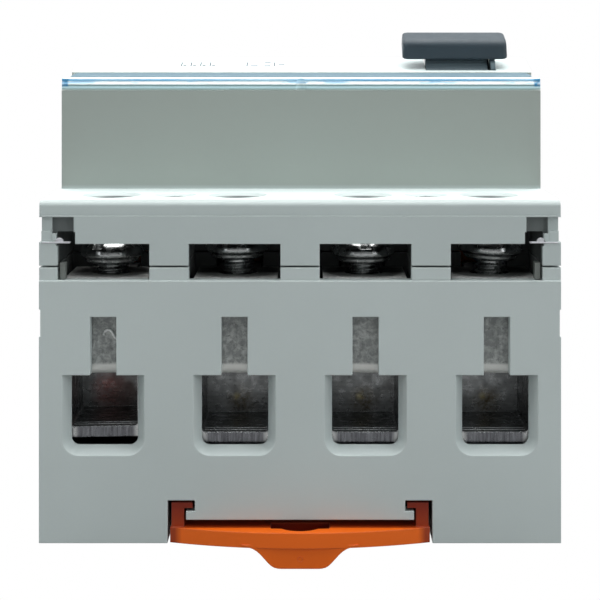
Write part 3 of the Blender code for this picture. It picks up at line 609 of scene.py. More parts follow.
def strip_zone(g, tone):
    """The web is rolled and mottled, with a painted shadow across its top and a painted highlight on its bend; the
    plate carries a painted shadow at its rear, lighter on the first pole, and painted light on its ragged front edge.
    """
    across, along, z, x = local(g)
    # painted highlight on the bend
    bend = g.math("MULTIPLY", g.ramp(z, 0.0217, 0.0213), g.ramp(along, 0.0378, 0.0382))
    tone = g.mix(g.math("MULTIPLY", bend, 0.9), tone, (0.86, 0.87, 0.84))
    # painted shadow across the top of the web, under the slot's upper edge
    shade = g.math("MULTIPLY", g.ramp(z, 0.0262, 0.0268), g.ramp(z, 0.0305, 0.0300))
    tone = g.mix(g.math("MULTIPLY", shade, 0.3), tone, (0.20, 0.21, 0.21))
    web = g.math("MULTIPLY", g.ramp(z, 0.0312, 0.0306), g.ramp(z, 0.0213, 0.0217))
    mottle = g.noise(1100, 6, 0.72, None, 0.5)
    tone = g.mix(g.math("MULTIPLY", web, g.ramp(mottle, 0.56, 0.44, 0.0, 0.55)), tone, (0.16, 0.17, 0.17))
    tone = g.mix(g.math("MULTIPLY", web, g.ramp(mottle, 0.56, 0.70, 0.0, 0.45)), tone, (0.80, 0.83, 0.81))
    rough_edge = g.noise(1.0, 5, 0.7, g.stretched((1500, 700, 1100)), 0.6)
    plate = g.ramp(z, 0.0314, 0.0317)
    # painted shadow over the plate's rear, behind the screw
    tone = g.mix(g.math("MULTIPLY", plate, g.ramp(along, 0.0338, 0.0320)), tone, (0.03, 0.032, 0.032))
    # painted light on the plate's ragged front edge
    front = g.math("MULTIPLY", plate, g.ramp(along, 0.0355, 0.0380))
    tone = g.mix(g.math("MULTIPLY", plate, g.ramp(x, -0.0195, -0.0205, 0.0, 0.4)), tone, (0.9, 0.9, 0.88))
    return g.mix(g.math("MULTIPLY", front, g.ramp(rough_edge, 0.32, 0.55)), tone, (1.0, 1.0, 0.98))


SCREW_MAT = plated("screw_zinc", (0.58, 0.60, 0.60), 0.17, 0.40, 0.12, (0.1, 0.08, 0.05), "none", 0.45, 0.6)
CAGE_MAT = plated("cage_zinc", (0.33, 0.345, 0.35), 0.26, 0.40, 0.2, (0.07, 0.06, 0.045), "x", 0.9, 1.0, 0.85, cage_zone)
STRIP_MAT = plated("terminal_tin", (0.50, 0.52, 0.51), 0.42, 0.30, 0.0, (0.1, 0.1, 0.1), "z", 0.35, 1.6, 0.35, strip_zone)
BURR_MAT = plated("bright_swarf", (0.92, 0.93, 0.92), 0.3, 0.3, metal=0.3)
FRAME_MAT = plated("frame_steel", (0.5, 0.5, 0.5), 0.35, 0.3)
SPRING_MAT = plated("spring_steel", (0.6, 0.6, 0.61), 0.22, 0.2, 0.0, (0.1, 0.1, 0.1), "none")
COPPER_MAT = plated("copper", (0.72, 0.32, 0.18), 0.3, 0.35, 0.3, (0.2, 0.06, 0.03), "y")
CORE_MAT = plated("core_alloy", (0.25, 0.25, 0.26), 0.4, 0.3)
LACQUER_MAT = moulded("winding_lacquer", (0.28, 0.06, 0.02), 0.25, 0.15, 2.0, 0.0, 0.2)
CERAMIC_MAT = moulded("resistor_body", (0.22, 0.32, 0.42), 0.35, 0.05, 0.4)


def lip_plastic():
    """The window's thick clear edge, drawn as an opaque surface: the white and blue lines along the mould's steps are
    painted highlights and reflections.
    """
    g = Graph("window_lip")
    split = g.add("ShaderNodeSeparateXYZ")
    g.link(g.where, split.inputs[0])
    x, z = split.outputs["X"], split.outputs["Z"]
    bands = g.add("ShaderNodeValToRGB")
    bands.color_ramp.interpolation = "CONSTANT"
    stops = [(58.60, (0.34, 0.47, 0.46)), (58.86, (0.55, 0.76, 0.82)), (59.18, (0.33, 0.47, 0.48)), (59.41, (0.90, 0.98, 1.0)),
             (59.95, (0.19, 0.50, 0.80)), (60.26, (0.95, 1.0, 1.0))]
    ramp = bands.color_ramp
    while len(ramp.elements) < len(stops):
        ramp.elements.new(0.5)
    for element, (height, colour) in zip(ramp.elements, stops):
        element.position = (height - 58.5) / 2.5
        element.color = (*colour, 1)
    g.link(g.ramp(z, 0.0585, 0.0610), bands.inputs[0])
    # painted reflections: blue patches and paler streaks along the lines, and a darker blue at the lip's ends
    patch = g.ramp(g.noise(1.0, 3, 0.6, g.stretched((150, 150, 1400))), 0.54, 0.60, 0.0, 0.75)
    row = g.math("MULTIPLY", g.ramp(z, 0.05955, 0.0596), g.ramp(z, 0.0600, 0.05995))
    tone = g.mix(g.math("MULTIPLY", patch, row), bands.outputs["Color"], (0.35, 0.65, 0.90))
    fade = g.math("MULTIPLY", g.ramp(g.noise(1.0, 2, 0.5, g.stretched((70, 70, 300))), 0.40, 0.60, 0.0, 0.6), g.ramp(z, 0.05990, 0.05995))
    tone = g.mix(fade, tone, (0.62, 0.86, 0.95))
    ends = g.math("MULTIPLY", g.ramp(g.math("ABSOLUTE", x), 0.0344, 0.0347), g.math("MULTIPLY", g.ramp(z, 0.0591, 0.0592), g.ramp(z, 0.0604, 0.0603)))
    tone = g.mix(g.math("MULTIPLY", ends, g.ramp(g.noise(1500, 2), 0.35, 0.6, 0.5, 1.0)), tone, (0.07, 0.28, 0.50))
    return g.done(tone, 0.25, 0.0, None, IOR=1.49, Specular_IOR_Level=0.4)


LIP_MAT = lip_plastic()


def clear_plastic():
    """Clear, faintly blue moulded sheet with fine handling marks; shadow rays pass, so the card under it stays lit."""
    g = Graph("clear_window")
    drift = g.noise(300, 3)
    hair = g.noise(1.0, 3, 0.5, g.stretched((90, 2600, 2600)), 0.5)
    near, soft = g.edge(0.00022)
    tone = g.mix(near, (0.93, 0.975, 0.985), (0.62, 0.86, 0.97))
    normal = g.bump(g.math("ADD", drift, g.math("MULTIPLY", hair, 0.4)), 0.000003, 0.5, soft)
    rough = g.ramp(hair, 0.55, 0.8, 0.04, 0.16)
    g.done(tone, rough, 0.0, normal, IOR=1.49, Transmission_Weight=0.96)
    out = g.tree.nodes["Material Output"]
    path = g.add("ShaderNodeLightPath")
    through = g.add("ShaderNodeBsdfTransparent")
    through.inputs["Color"].default_value = (0.9, 0.95, 0.96, 1)
    # seen almost edge-on the sheet is painted an even blue-grey, a painted reflection
    grazing_paint = g.add("ShaderNodeBsdfDiffuse")
    grazing_paint.inputs["Color"].default_value = (0.13, 0.19, 0.225, 1)
    graze = g.add("ShaderNodeLayerWeight")
    graze.inputs["Blend"].default_value = 0.5
    grazing_mix = g.add("ShaderNodeMixShader")
    g.link(g.ramp(graze.outputs["Facing"], 0.70, 0.84, 0.0, 0.95), grazing_mix.inputs[0])
    g.link(g.shader.outputs[0], grazing_mix.inputs[1])
    g.link(grazing_paint.outputs[0], grazing_mix.inputs[2])
    blend = g.add("ShaderNodeMixShader")
    g.link(path.outputs["Is Shadow Ray"], blend.inputs[0])
    g.link(grazing_mix.outputs[0], blend.inputs[1])
    g.link(through.outputs[0], blend.inputs[2])
    g.link(blend.outputs[0], out.inputs["Surface"])
    return g.mat


CLEAR_MAT = clear_plastic()


# ---------------------------------------------------------------- piece helpers
def settle(obj, name, body, nodes, mat, width=0.0, segments=2, angle=32):
    """Bakes a piece's booleans, cleans the flats, rounds its edges and hands it to its body."""
    mesh = baked(obj)
    mesh.name = name
    bm = bmesh.new()
    bm.from_mesh(mesh)
    bmesh.ops.remove_doubles(bm, verts=bm.verts, dist=2e-6)
    bmesh.ops.dissolve_limit(bm, angle_limit=math.radians(0.6), verts=bm.verts, edges=bm.edges)
    bm.to_mesh(mesh)
    bm.free()
    mesh.materials.clear()
    mesh.materials.append(mat)
    piece = bpy.data.objects.new(name, mesh)
    PARTS.objects.link(piece)
    return dress(piece, body, nodes, mat, width, segments, angle)


def dress(piece, body, nodes, mat, width=0.0, segments=2, angle=32):
    piece.data.materials.clear()
    piece.data.materials.append(mat)
    piece.data.shade_smooth()
    if width:
        rounding = piece.modifiers.new("rounding", "BEVEL")
        rounding.width = width * MM
        rounding.segments = segments
        rounding.limit_method = "ANGLE"
        rounding.angle_limit = math.radians(angle)
        rounding.harden_normals = True
        rounding.miter_outer = "MITER_ARC"
    else:
        piece.data.set_sharp_from_angle(angle=math.radians(angle))
    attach(piece, body)
    if nodes:
        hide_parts(*nodes)
    return piece


def moved(mesh, matrix, name):
    copy = mesh.copy()
    copy.name = name
    copy.transform(matrix)
    piece = bpy.data.objects.new(name, copy)
    PARTS.objects.link(piece)
    return piece


# ---------------------------------------------------------------- base housing
base = outline(
    "housing_source",
    [
        (-HALF_D, BACK), (-17.9, BACK), (-17.9, 0.15), (-15.5, 0.15), (-15.5, 0),
        (15.9, 0), (15.9, 0.15), (18.1, 0.15), (18.1, -1.3),
        (16.0, -1.3), (16.4, BACK), (HALF_D, BACK), (HALF_D, 33.2), (HALF_D - 0.2, 33.2),
        (HALF_D - 0.2, SPLIT_LOW), (-HALF_D + 0.2, SPLIT_LOW), (-HALF_D + 0.2, 33.2),
        (-HALF_D, 33.2),
    ],
    "YZ", -HALF_W, HALF_W, PARTS,
)
cut(base, boxes("base_cavity", [(-33.5, 33.5, -CAVITY_D, CAVITY_D, 2.0, 40)]))
cut(base, boxes("base_bays", [
    (x - BAY_HALF, x + BAY_HALF, *at_end(end, BAY_NEAR, BAY_FAR), BAY_FLOOR, 40)
    for x in POLES for end in ENDS
]))
cut(base, boxes("base_windows", [
    (x - WINDOW_HALF, x + WINDOW_HALF, *at_end(end, BAY_FAR - 0.5, 43), WINDOW_Z0, 40)
    for x in POLES for end in ENDS
]))
cut(base, boxes("base_slots", [
    (x - SLOT_HALF, x + SLOT_HALF, *at_end(end, BAY_FAR - 0.5, 43), SLOT_Z0, SLOT_Z1)
    for x in POLES for end in ENDS
]))


def entry_section(x, end, y, width, low, radius):
    """One section of a wire entry: a flat top, straight sides and two round lower corners."""
    half = width / 2
    flat = [(half, ENTRY_TOP)]
    flat += arc(half - radius, low + radius, radius, 0, -90, 10)
    flat += arc(-half + radius, low + radius, radius, -90, -180, 10)
    flat += [(-half, ENTRY_TOP)]
    return [(x + u, end * y, v) for u, v in flat]


def entry(x, end):
    """The funnel of a wire entry, carried on past both faces of the wall."""
    (w0, z0, r0), (w1, z1, r1) = ENTRY_OUTER, ENTRY_INNER
    depth = 1.9
    past = 0.4 / depth
    return [
        entry_section(x, end, HALF_D + 0.4, w0 + (w0 - w1) * past, z0 + (z0 - z1) * past, r0 + (r0 - r1) * past),
        entry_section(x, end, HALF_D - depth, w1, z1, r1),
        entry_section(x, end, BAY_FAR - 0.8, w1, z1, r1),
    ]


cut(base, lofts("wire_entries", [entry(x, end) for x in POLES for end in ENDS]))
# Passages for the conductors' tails through the partitions
cut(base, boxes("tail_passages", [
    (x - 3.4, x + 3.4, *at_end(end, CAVITY_D - 0.6, BAY_NEAR + 0.6), 30.9, 40)
    for x in POLES for end in ENDS
]))
# Guide for the rail latch: a wide channel for its plate, and a deeper pocket
# whose hanging tongue the latch's hooked arms ride on
cut(base, outline(
    "latch_pocket",
    [
        (-18.0, -4), (-18.0, 3.36), (-14.3, 3.36), (-14.3, 1.87), (-15.5, 1.87), (-15.5, 0.72),
        (15.5, 0.72), (15.5, 1.87), (14.3, 1.87), (14.3, 3.36), (18.0, 3.36), (18.0, -4),
    ],
    "XZ", -43, -26.0,
))
cut(base, boxes("latch_channel", [(-18.0, 18.0, -26.5, -17.0, -4, 0.72)]))
# Blind bores for the case screws
cut(base, cylinders("screw_bores", [
    (x, end * SCREW_Y, 16, 40, 1.6) for x in (-PITCH, PITCH) for end in ENDS
], segments=24))
# Posts that carry the mechanism frame and the test spring
for index, (x, y, top) in enumerate(((PITCH, 8.9, 45.1), (PITCH, -8.9, 45.1), (0, 8.9, 45.1), (TEST_X, TEST_Y, 50.0))):
    join(base, boxes(f"post_{index}", [(x - 1.4, x + 1.4, y - 1.4, y + 1.4, 1.2, top)]))


# ---------------------------------------------------------------- front cover
edge = 0.7
cover = outline(
    "cover_source",
    [(-41.3, SPLIT_HIGH), (-41.3, 42.0), (-41.1, 42.0)]
    + arc(-41.1 + edge, SHOULDER - edge, edge, 180, 90, 8)
    + [
        (-NOSE_D, SHOULDER), (-NOSE_D, FACE_EDGE), (-21.2, FACE_EDGE), (-21.2, 58.0),
        (-12.7, 58.0), (-12.7, FACE_STEP), (-5.0, FACE_TOP), (5.0, FACE_TOP), (12.7, FACE_STEP),
    ]
    + arc(NOSE_D - 1.0, 60.0, 1.0, 90, 0, 8)
    + [(NOSE_D, SHOULDER)]
    + arc(41.1 - edge, SHOULDER - edge, edge, 90, 0, 8)
    + [(41.1, 42.0), (41.3, 42.0), (41.3, SPLIT_HIGH)],
    "YZ", -HALF_W, HALF_W, PARTS,
)
cut(cover, outline(
    "nose_cavity",
    [
        (-21.0, 34), (-21.0, 56.4), (-11.2, 56.4), (-11.2, 59.9), (-4.7, 61.5), (4.7, 61.5),
        (11.2, 59.8), (21.0, 59.3), (21.0, 34),
    ],
    "YZ", -33.3, 33.3,
))
cut(cover, boxes("cover_cavity", [(-33.5, 33.5, -CAVITY_D, CAVITY_D, 34, CEILING)]))
cut(cover, boxes("cover_bays", [
    (x - BAY_HALF, x + BAY_HALF, *at_end(end, BAY_NEAR, BAY_FAR), 34, CEILING)
    for x in POLES for end in ENDS
]))
cut(cover, boxes("cover_windows", [
    (x - WINDOW_HALF, x + WINDOW_HALF, *at_end(end, BAY_FAR - 0.5, 43), 34, WINDOW_Z1)
    for x in POLES for end in ENDS
]))
cut(cover, cylinders("screw_access", [
    (x, end * SCREW_Y, CEILING - 1, 46, 3.6) for x in POLES for end in ENDS
], segments=56))
cut(cover, cylinders("case_screw_heads", [
    (x, end * SCREW_Y, 42.9, 46, 2.5) for x in (-PITCH, PITCH) for end in ENDS
], segments=48))
cut(cover, cylinders("case_screw_holes", [
    (x, end * SCREW_Y, 34, 44.5, 1.6) for x in (-PITCH, PITCH) for end in ENDS
], segments=32))
# Notches beside the outer windows: shallow above, open to the bay below
cut(cover, boxes("corner_recesses", [
    (side * 30.8, side * 33.8, *at_end(end, 40.2, 43), 39.6, 41.85) for side in ENDS for end in ENDS
]))
cut(cover, boxes("corner_openings", [
    (side * 30.6, side * 33.2, *at_end(end, BAY_FAR - 0.5, 43), 37.9, 39.8) for side in ENDS for end in ENDS
]))
cut(cover, boxes("toggle_slot", [(19.3, 30.2, -11.6, 11.6, 57.5, 65)]))
cut(cover, boxes("test_hole", [(TEST_X - 3.8, TEST_X + 3.8, TEST_Y - 2.9, TEST_Y + 2.9, 57.5, 65)]))




# ---------------------------------------------------------------- case
def extra_base(base):
    """Fine steps that the frame's plain housing leaves out."""
    # shallow drafts on the flanks, where the moulding's side walls are relieved
    cut(base, boxes("flank_relief", [
        (side * (HALF_W - 0.18), side * 37, -43, 43, 25.6, 29.3) for side in ENDS
    ]))
    return base


extra_base(base)
settle(base, "housing_shell", "root", ["base_housing"], BASE_GREY, 0.14, 2, 35)

cut(cover, boxes("flank_notch", [
    (side * (HALF_W - 0.28), side * 37, *at_end(end, 38.6, 43), 38.45, 41.85) for side in ENDS for end in ENDS
]))
cut(cover, boxes("flank_face", [
    (side * 33.75, side * 37, *at_end(end, 40.75, 43), 39.95, 41.85) for side in ENDS for end in ENDS
]))
cut(cover, boxes("flank_face_low", [
    (side * 33.75, side * 37, *at_end(end, 41.12, 43), 38.45, 40.1) for side in ENDS for end in ENDS
]))
cut(cover, lofts("access_dish", [
    [[(x + q * math.cos(a), end * SCREW_Y + q * math.sin(a), z) for a in (math.radians(t) for t in range(0, 360, 8))]
     for z, q in ((45.0, rim + 1.3), (42.9, rim - 0.8))]
    for x, rim in [(x, 3.9) for x in POLES] + [(-PITCH, 2.75), (PITCH, 2.75)] for end in ENDS
]))
settle(cover, "cover_shell", "root", ["front_cover"], COVER_GREY, 0.12, 2, 35)

# the thin ledge and its moulded nub below each corner notch, in a lighter grey that is painted light
index = 0
for side in ENDS:
    for end in ENDS:
        index += 1
        ledge = boxes(f"ledge_source_{index}", [(side * 31.3, side * 35.1, *at_end(end, 40.3, 41.38), 38.28, 38.46)], PARTS)
        nub = outline(f"nub_{index}", [(side * 32.15, 38.3), (side * 33.5, 38.3)] + [
            (side * (32.83 + 0.62 * math.cos(a)), 38.4 + 0.62 * math.sin(a)) for a in (0.1, 0.6, 1.1, 1.6, 2.1, 2.6, 3.05)
        ], "XZ", *at_end(end, 40.6, 41.3))
        join(ledge, nub)
        settle(ledge, f"corner_ledge_{index}", "root", [], LEDGE_GREY, 0.04, 2, 35)
        # upright rib in the bay's outer corner, behind the window's edge, in a dark grey that is painted shade
        rib = boxes(f"rib_source_{index}", [(side * 32.0, side * 32.75, *at_end(end, 39.3, 40.9), 33.3, 35.6)], PARTS)
        settle(rib, f"bay_rib_{index}", "root", [], RIB_GREY, 0.08, 2, 35)


# ---------------------------------------------------------------- label window, card
pane = outline(
    "window_source",
    [(-21.35, 58.9), (-21.35, 60.42), (-18.0, 60.82), (-15.0, 60.97), (-13.45, 61.0), (-13.25, 60.8), (-13.25, 59.7), (-13.5, 59.5),
     (-20.6, 59.35), (-20.75, 58.9)],
    "YZ", -34.6, 34.6, PARTS,
)
settle(pane, "window_pane", "label_window", ["label_window"], CLEAR_MAT, 0.1, 2, 30)
# the pane's thick front lip, stepped by its mould, with painted highlights and reflections in lines along it
lip = outline(
    "lip_source",
    [(-21.3, 58.66), (-22.5, 58.66), (-22.5, 59.16), (-22.4, 59.2), (-22.4, 59.38), (-22.5, 59.43), (-22.5, 59.5), (-22.25, 59.93),
     (-22.32, 59.97), (-22.32, 60.24), (-22.22, 60.3), (-22.05, 60.42), (-21.7, 60.47), (-21.3, 60.42)],
    "YZ", -35.48, 35.48, PARTS,
)
cut(lip, cylinders("lip_notch", [(0.0, -23.1, 58, 62, 1.0)], segments=32))
cut(lip, lofts("lip_corners", [
    [[(side * 34.7, -20.5, z), (side * 36.5, -20.5, z), (side * 36.5, -22.6, z), (side * 35.3, -22.1, z)] for z in (60.15, 62.0)] for side in ENDS
]))
settle(lip, "window_lip", "label_window", [], LIP_MAT, 0.02, 2, 30)

card = NODES["label_card"]
card.data.materials.clear()
card.data.materials.append(CARD_MAT)


# ---------------------------------------------------------------- toggle
lever = cylinders("lever_source", [(0, 0, TOGGLE_X - 4.7, TOGGLE_X + 4.7, 5.3)], "X", 64, PARTS)
neck = [(TOGGLE_X - 4.55, 2.2), (TOGGLE_X - 4.75, 9.0), (TOGGLE_X - 4.75, 15.2), (TOGGLE_X + 3.6, 15.2), (TOGGLE_X + 3.6, 2.2)]
join(lever, outline("lever_neck", neck, "XZ", -2.1, 2.1))
join(lever, outline("lever_rib", arc(0.2, 11.8, 2.6, 20, 160, 10) + [(-2.2, 6.0), (2.6, 6.0)], "YZ", TOGGLE_X + 3.75, TOGGLE_X + 4.75))
join(lever, boxes("lever_web", [(TOGGLE_X - 4.4, TOGGLE_X + 4.4, -1.4, 1.4, 4.0, 15.4)]))


HOOD = [(-11.1, 63.1), (-11.28, 63.3), (-11.32, 64.9), (-11.27, 65.3), (-11.05, 65.72), (-10.7, 66.05), (-10.25, 66.3), (-9.7, 66.5),
        (-8.1, 67.12), (-7.5, 67.3), (-6.95, 67.3), (-6.45, 67.05), (-6.15, 66.6), (-6.0, 66.0), (-6.15, 65.55), (-6.5, 65.35), (-10.8, 63.07)]


def grip_section(x, swell):
    """The hood's section as it stands at rest, turned back into the lever's upright frame."""
    c, s = math.cos(TOGGLE_TILT), math.sin(TOGGLE_TILT)
    row = []
    for y, z in HOOD:
        y, z = -8.8 + (y + 8.8) * swell, 65.3 + (z - 65.3) * swell
        taper = 1 - 0.026 * (z - 63.3) / 4.1
        row.append((TOGGLE_X - 0.75 + x * taper, y * c + (z - TOGGLE_Z) * s, -y * s + (z - TOGGLE_Z) * c))
    return row


grip_half = 8.15
steps = [(-grip_half, 0.84), (-grip_half + 0.12, 0.91), (-grip_half + 0.3, 0.96), (-grip_half + 0.7, 0.995), (-6.0, 1.0), (0, 0.99),
         (6.0, 1.0), (grip_half - 0.7, 0.995), (grip_half - 0.3, 0.96), (grip_half - 0.12, 0.91), (grip_half, 0.84)]
join(lever, lofts("lever_grip", [[grip_section(dx, swell) for dx, swell in steps]]))
shield = arc(0, 0, 9.6, 20, 160, 40) + arc(0, 0, 8.7, 160, 20, 40)
join(lever, outline("lever_shield", shield, "YZ", TOGGLE_X - 4.65, TOGGLE_X + 4.65))
cut(lever, cylinders("lever_bore", [(0, 0, 10, 40, PIN_R + 0.3)], "X", 32))
join(lever, cylinders("lever_crank", [(CRANK_R, 0, TOGGLE_X - 7.1, TOGGLE_X - 4.0, 0.9)], "X", 24))
tilt = Matrix.Translation((0, 0, TOGGLE_Z * MM)) @ Matrix.Rotation(TOGGLE_TILT, 4, "X")
for name in ("lever_neck", "lever_rib", "lever_web", "lever_grip", "lever_shield", "lever_bore", "lever_crank"):
    bpy.data.objects[name].data.transform(tilt)
lever.data.transform(tilt)
settle(lever, "toggle_handle", "toggle", ["toggle_lever"], TOGGLE_MAT, 0.10, 2, 38)
# the neck's moulded skin under the grip, and the rounded rib beside it, in a lighter grey that is painted light
skin = outline("skin_source", [(-11.1, 60.9), (-11.05, 61.4), (-9.4, 63.1), (-8.5, 63.4), (-7.2, 63.3), (-7.6, 60.9)], "YZ", TOGGLE_X - 5.2, TOGGLE_X + 4.4, PARTS)
cut(skin, boxes("skin_lines", [(TOGGLE_X - 5, TOGGLE_X + 4.5, -10.6 + n * 0.5 - 0.2, -10.6 + n * 0.5 - 0.12, 61, 64) for n in range(3)]))
settle(skin, "toggle_neck_skin", "toggle", [], NECK_MAT, 0.06, 2, 38)
flank = outline("flank_source", arc(-9.6, 61.6, 1.7, 40, 200, 12) + [(-11.2, 60.6), (-8.0, 60.6)], "YZ", TOGGLE_X + 4.8, TOGGLE_X + 5.55, PARTS)
settle(flank, "toggle_neck_rib", "toggle", [], NECK_MAT, 0.08, 2, 38)


# ---------------------------------------------------------------- rail latch
def flange_corner(cu, cv, r, start, end):
    return arc(cu, cv, r, start, end, 6)


radius = (LATCH_HALF**2 + LATCH_SAG**2) / (2 * LATCH_SAG)
spread = math.degrees(math.asin(LATCH_HALF / radius))
front = arc(0, -HALF_D - LATCH_SAG + radius, radius, -90 - spread, -90 + spread, 48)
hook = outline(
    "latch_source", [(LATCH_HALF, -18.2), (-LATCH_HALF, -18.2)] + front, "XY", -2.3, -0.24, PARTS,
)
join(hook, outline(
    "hook_nose",
    [(-19.0, -2.3), (-16.3, -2.3), (-15.85, -2.0), (-15.8, -1.6), (-15.95, -1.35), (-19.0, -1.35)],
    "YZ", -LATCH_HALF + 0.1, LATCH_HALF - 0.1,
))
# the plate's underside bows down slightly behind the pull tab
join(hook, outline(
    "hook_belly",
    [(-12.5, -2.2), (-9.0, -2.45), (-5.2, -2.6), (5.2, -2.6), (9.0, -2.45), (12.5, -2.2), (0, -1.9)],
    "XZ", -43.0, -41.6,
))
for side in ENDS:
    join(hook, outline(
        f"hook_arm_{'left' if side < 0 else 'right'}",
        [(side * u, v) for u, v in (
            (17.5, -0.6), (17.5, 3.0), (14.6, 3.0), (14.6, 2.25), (15.78, 2.25), (15.78, -0.6)
        )],
        "XZ", -41.2, -27.0,
    ))
cut(hook, outline(
    "hook_slot",
    [(-4.0, -39.6), (4.0, -39.6), (4.0, -42.1), (3.2, -42.15)]
    + arc(0, -40.0, 3.3, -42, -138, 12) + [(-3.2, -42.15), (-4.0, -42.1)],
    "XY", -1.6, 1.0,
))
tab = [(-7.9, -1.9), (-7.0, -2.2), (-6.35, -2.42), (-5.8, -2.75), (-5.3, -3.2), (-4.75, -3.8), (-4.25, -4.35), (-3.85, -4.72),
       (-3.45, -4.95), (-2.95, -5.07), (-2.5, -5.1)]
tab = tab + [(-u, v) for u, v in tab[::-1]]
join(hook, outline("hook_tab", tab, "XZ", -43.95, -42.2))
settle(hook, "latch_slider", "rail_latch", ["rail_latch"], ORANGE_MAT, 0.22, 3, 30)
# faint mould pin witness on the tab, a plain ring
bpy.ops.mesh.primitive_torus_add(
    major_segments=32, minor_segments=8, major_radius=0.34 * MM, minor_radius=0.05 * MM,
    location=(0.05 * MM, -43.96 * MM, -3.8 * MM), rotation=(math.radians(90), 0, 0),
)
ring_mark = bpy.context.object
ring_mark.name = "latch_mould_ring"
bpy.context.view_layer.update()
ring_mark.data.transform(ring_mark.matrix_world)
ring_mark.matrix_world = Matrix.Identity(4)
dress(ring_mark, "rail_latch", [], ORANGE_MAT, 0)


# ---------------------------------------------------------------- terminals
def threaded(name, z0, z1, crest, depth, pitch, around=40, per_turn=10):
    """A rod with a real helical thread, closed at both ends."""
    bm = bmesh.new()
    count = int((z1 - z0) / pitch * per_turn)
    rows = []
    for i in range(count + 1):
        z = z0 + (z1 - z0) * i / count
        fade = min(1.0, (z - z0) / 0.5 + 0.25)
        row = []
        for j in range(around):
            phase = (z / pitch - j / around) % 1.0
            tooth = 1 - abs(2 * phase - 1)
            tooth = min(1.0, max(0.0, tooth * 1.35 - 0.15))
            r = (crest - depth * (1 - tooth)) * (0.82 + 0.18 * fade)
            a = 2 * math.pi * j / around
            row.append(bm.verts.new((r * math.cos(a), r * math.sin(a), z)))
        rows.append(row)
    for low, high in zip(rows, rows[1:]):
        for j in range(around):
            k = (j + 1) % around
            bm.faces.new((low[j], low[k], high[k], high[j]))
    bm.faces.new(rows[0][::-1])
    bm.faces.new(rows[-1])
    mesh = bpy.data.meshes.new(name)
    bm.to_mesh(mesh)
    bm.free()
    return put(scaled(mesh), name, CUTTERS)


def crowned(points, steps):
    """A smooth curve through the profile's points (Catmull-Rom)."""
    out = []
    for i in range(len(points) - 1):
        p0, p1, p2, p3 = points[max(i - 1, 0)], points[i], points[i + 1], points[min(i + 2, len(points) - 1)]
        for s in range(steps):
            t = s / steps
            out.append(tuple(
                0.5 * (2 * b + (c - a) * t + (2 * a - 5 * b + 4 * c - d) * t * t + (3 * b - a - 3 * c + d) * t**3)
                for a, b, c, d in zip(p0, p1, p2, p3)
            ))
    return out + [points[-1]]


dome = crowned([(0, 38.3), (1.5, 38.22), (2.8, 37.95), (3.7, 37.5), (4.3, 36.9), (4.5, 36.3), (4.4, 35.85), (4.05, 35.6), (3.85, 35.4),
                (3.7, 35.0), (3.2, 34.75)], 4)
head = turned("screw_source", dome + [(2.9, 34.7), (2.2, 34.74), (2.2, 34.3), (0, 34.3)], 72)
rod = threaded("screw_thread", SHANK_END, 35.0, SHANK_R - 0.01, 0.55, 0.8)
join(head, rod)
cut(head, boxes("screw_slot", [(-0.72, 0.72, -6, 6, 36.95, 39)]))
cut(head, lofts("screw_cross", [[
    [(sx * (2.1 * t + 0.25), sy * (0.5 + 0.3 * t), z) for sx, sy in ((-1, -1), (1, -1), (1, 1), (-1, 1))]
    for z, t in ((35.9, 0.0), (37.3, 0.62), (38.9, 1.25))
]]))
head_mesh = baked(head)


FLOOR = CAGE_FLOOR - 0.35


def cage_outline():
    """A bent strap: outer and inner rounded rectangles, cut through by the wire room."""
    outer = arc(-CAGE_X + 1.25, CAGE_Z0 + 1.25, 1.25, 180, 270, 6) + arc(CAGE_X - 1.25, CAGE_Z0 + 1.25, 1.25, 270, 360, 6)
    outer += arc(CAGE_X - 0.5, CAGE_Z1 - 0.5, 0.5, 0, 90, 3) + arc(-CAGE_X + 0.5, CAGE_Z1 - 0.5, 0.5, 90, 180, 3)
    inner_x = CAGE_X - CAGE_WALL
    inner = arc(-inner_x + 0.45, FLOOR + 0.45, 0.45, 180, 270, 4) + arc(inner_x - 0.45, FLOOR + 0.45, 0.45, 270, 360, 4)
    inner += [(inner_x, CAGE_ROOF), (-inner_x, CAGE_ROOF)]
    return outer, inner


def cage_mesh_of(seed):
    outer, inner = cage_outline()
    body = outline("cage_source", outer, "XZ", CAGE_Y0, CAGE_Y1, PARTS)
    cut(body, outline("cage_inside", inner, "XZ", -9, CAGE_Y1 - 1.0))
    cut(body, boxes("cage_opening", [(-4.65, 4.65, -9, -5.4, CAGE_ROOF - 1, CAGE_Z1 + 1)]))
    cut(body, cylinders("cage_hole", [(0, 0, 21, 26, 2.6)], segments=32))
    # a fine sheared and serrated front edge, which grips the wire
    rng = random.Random(seed)
    ridges = []
    x = -4.3
    while x < 4.3:
        w = rng.uniform(0.10, 0.26)
        ridges.append((x, x + w, CAGE_Y0 - 0.5, CAGE_Y0 + rng.uniform(0.04, 0.16), CAGE_Z0 - 1, CAGE_Z0 + rng.uniform(0.05, 0.2)))
        ridges.append((x + 0.05, x + w + 0.06, CAGE_Y0 - 0.5, CAGE_Y0 + rng.uniform(0.10, 0.35), FLOOR - rng.uniform(0.03, 0.13), FLOOR + 0.5))
        x += w + rng.uniform(0.15, 0.5)
    cut(body, boxes("cage_teeth", ridges))
    # rolled grooves across the floor
    cut(body, boxes("cage_grooves", [(-4.3, 4.3, CAGE_Y0 + 1.2 + i * 1.1, CAGE_Y0 + 1.5 + i * 1.1, FLOOR - 0.1, FLOOR + 0.4) for i in range(2)]))
    return baked(body)


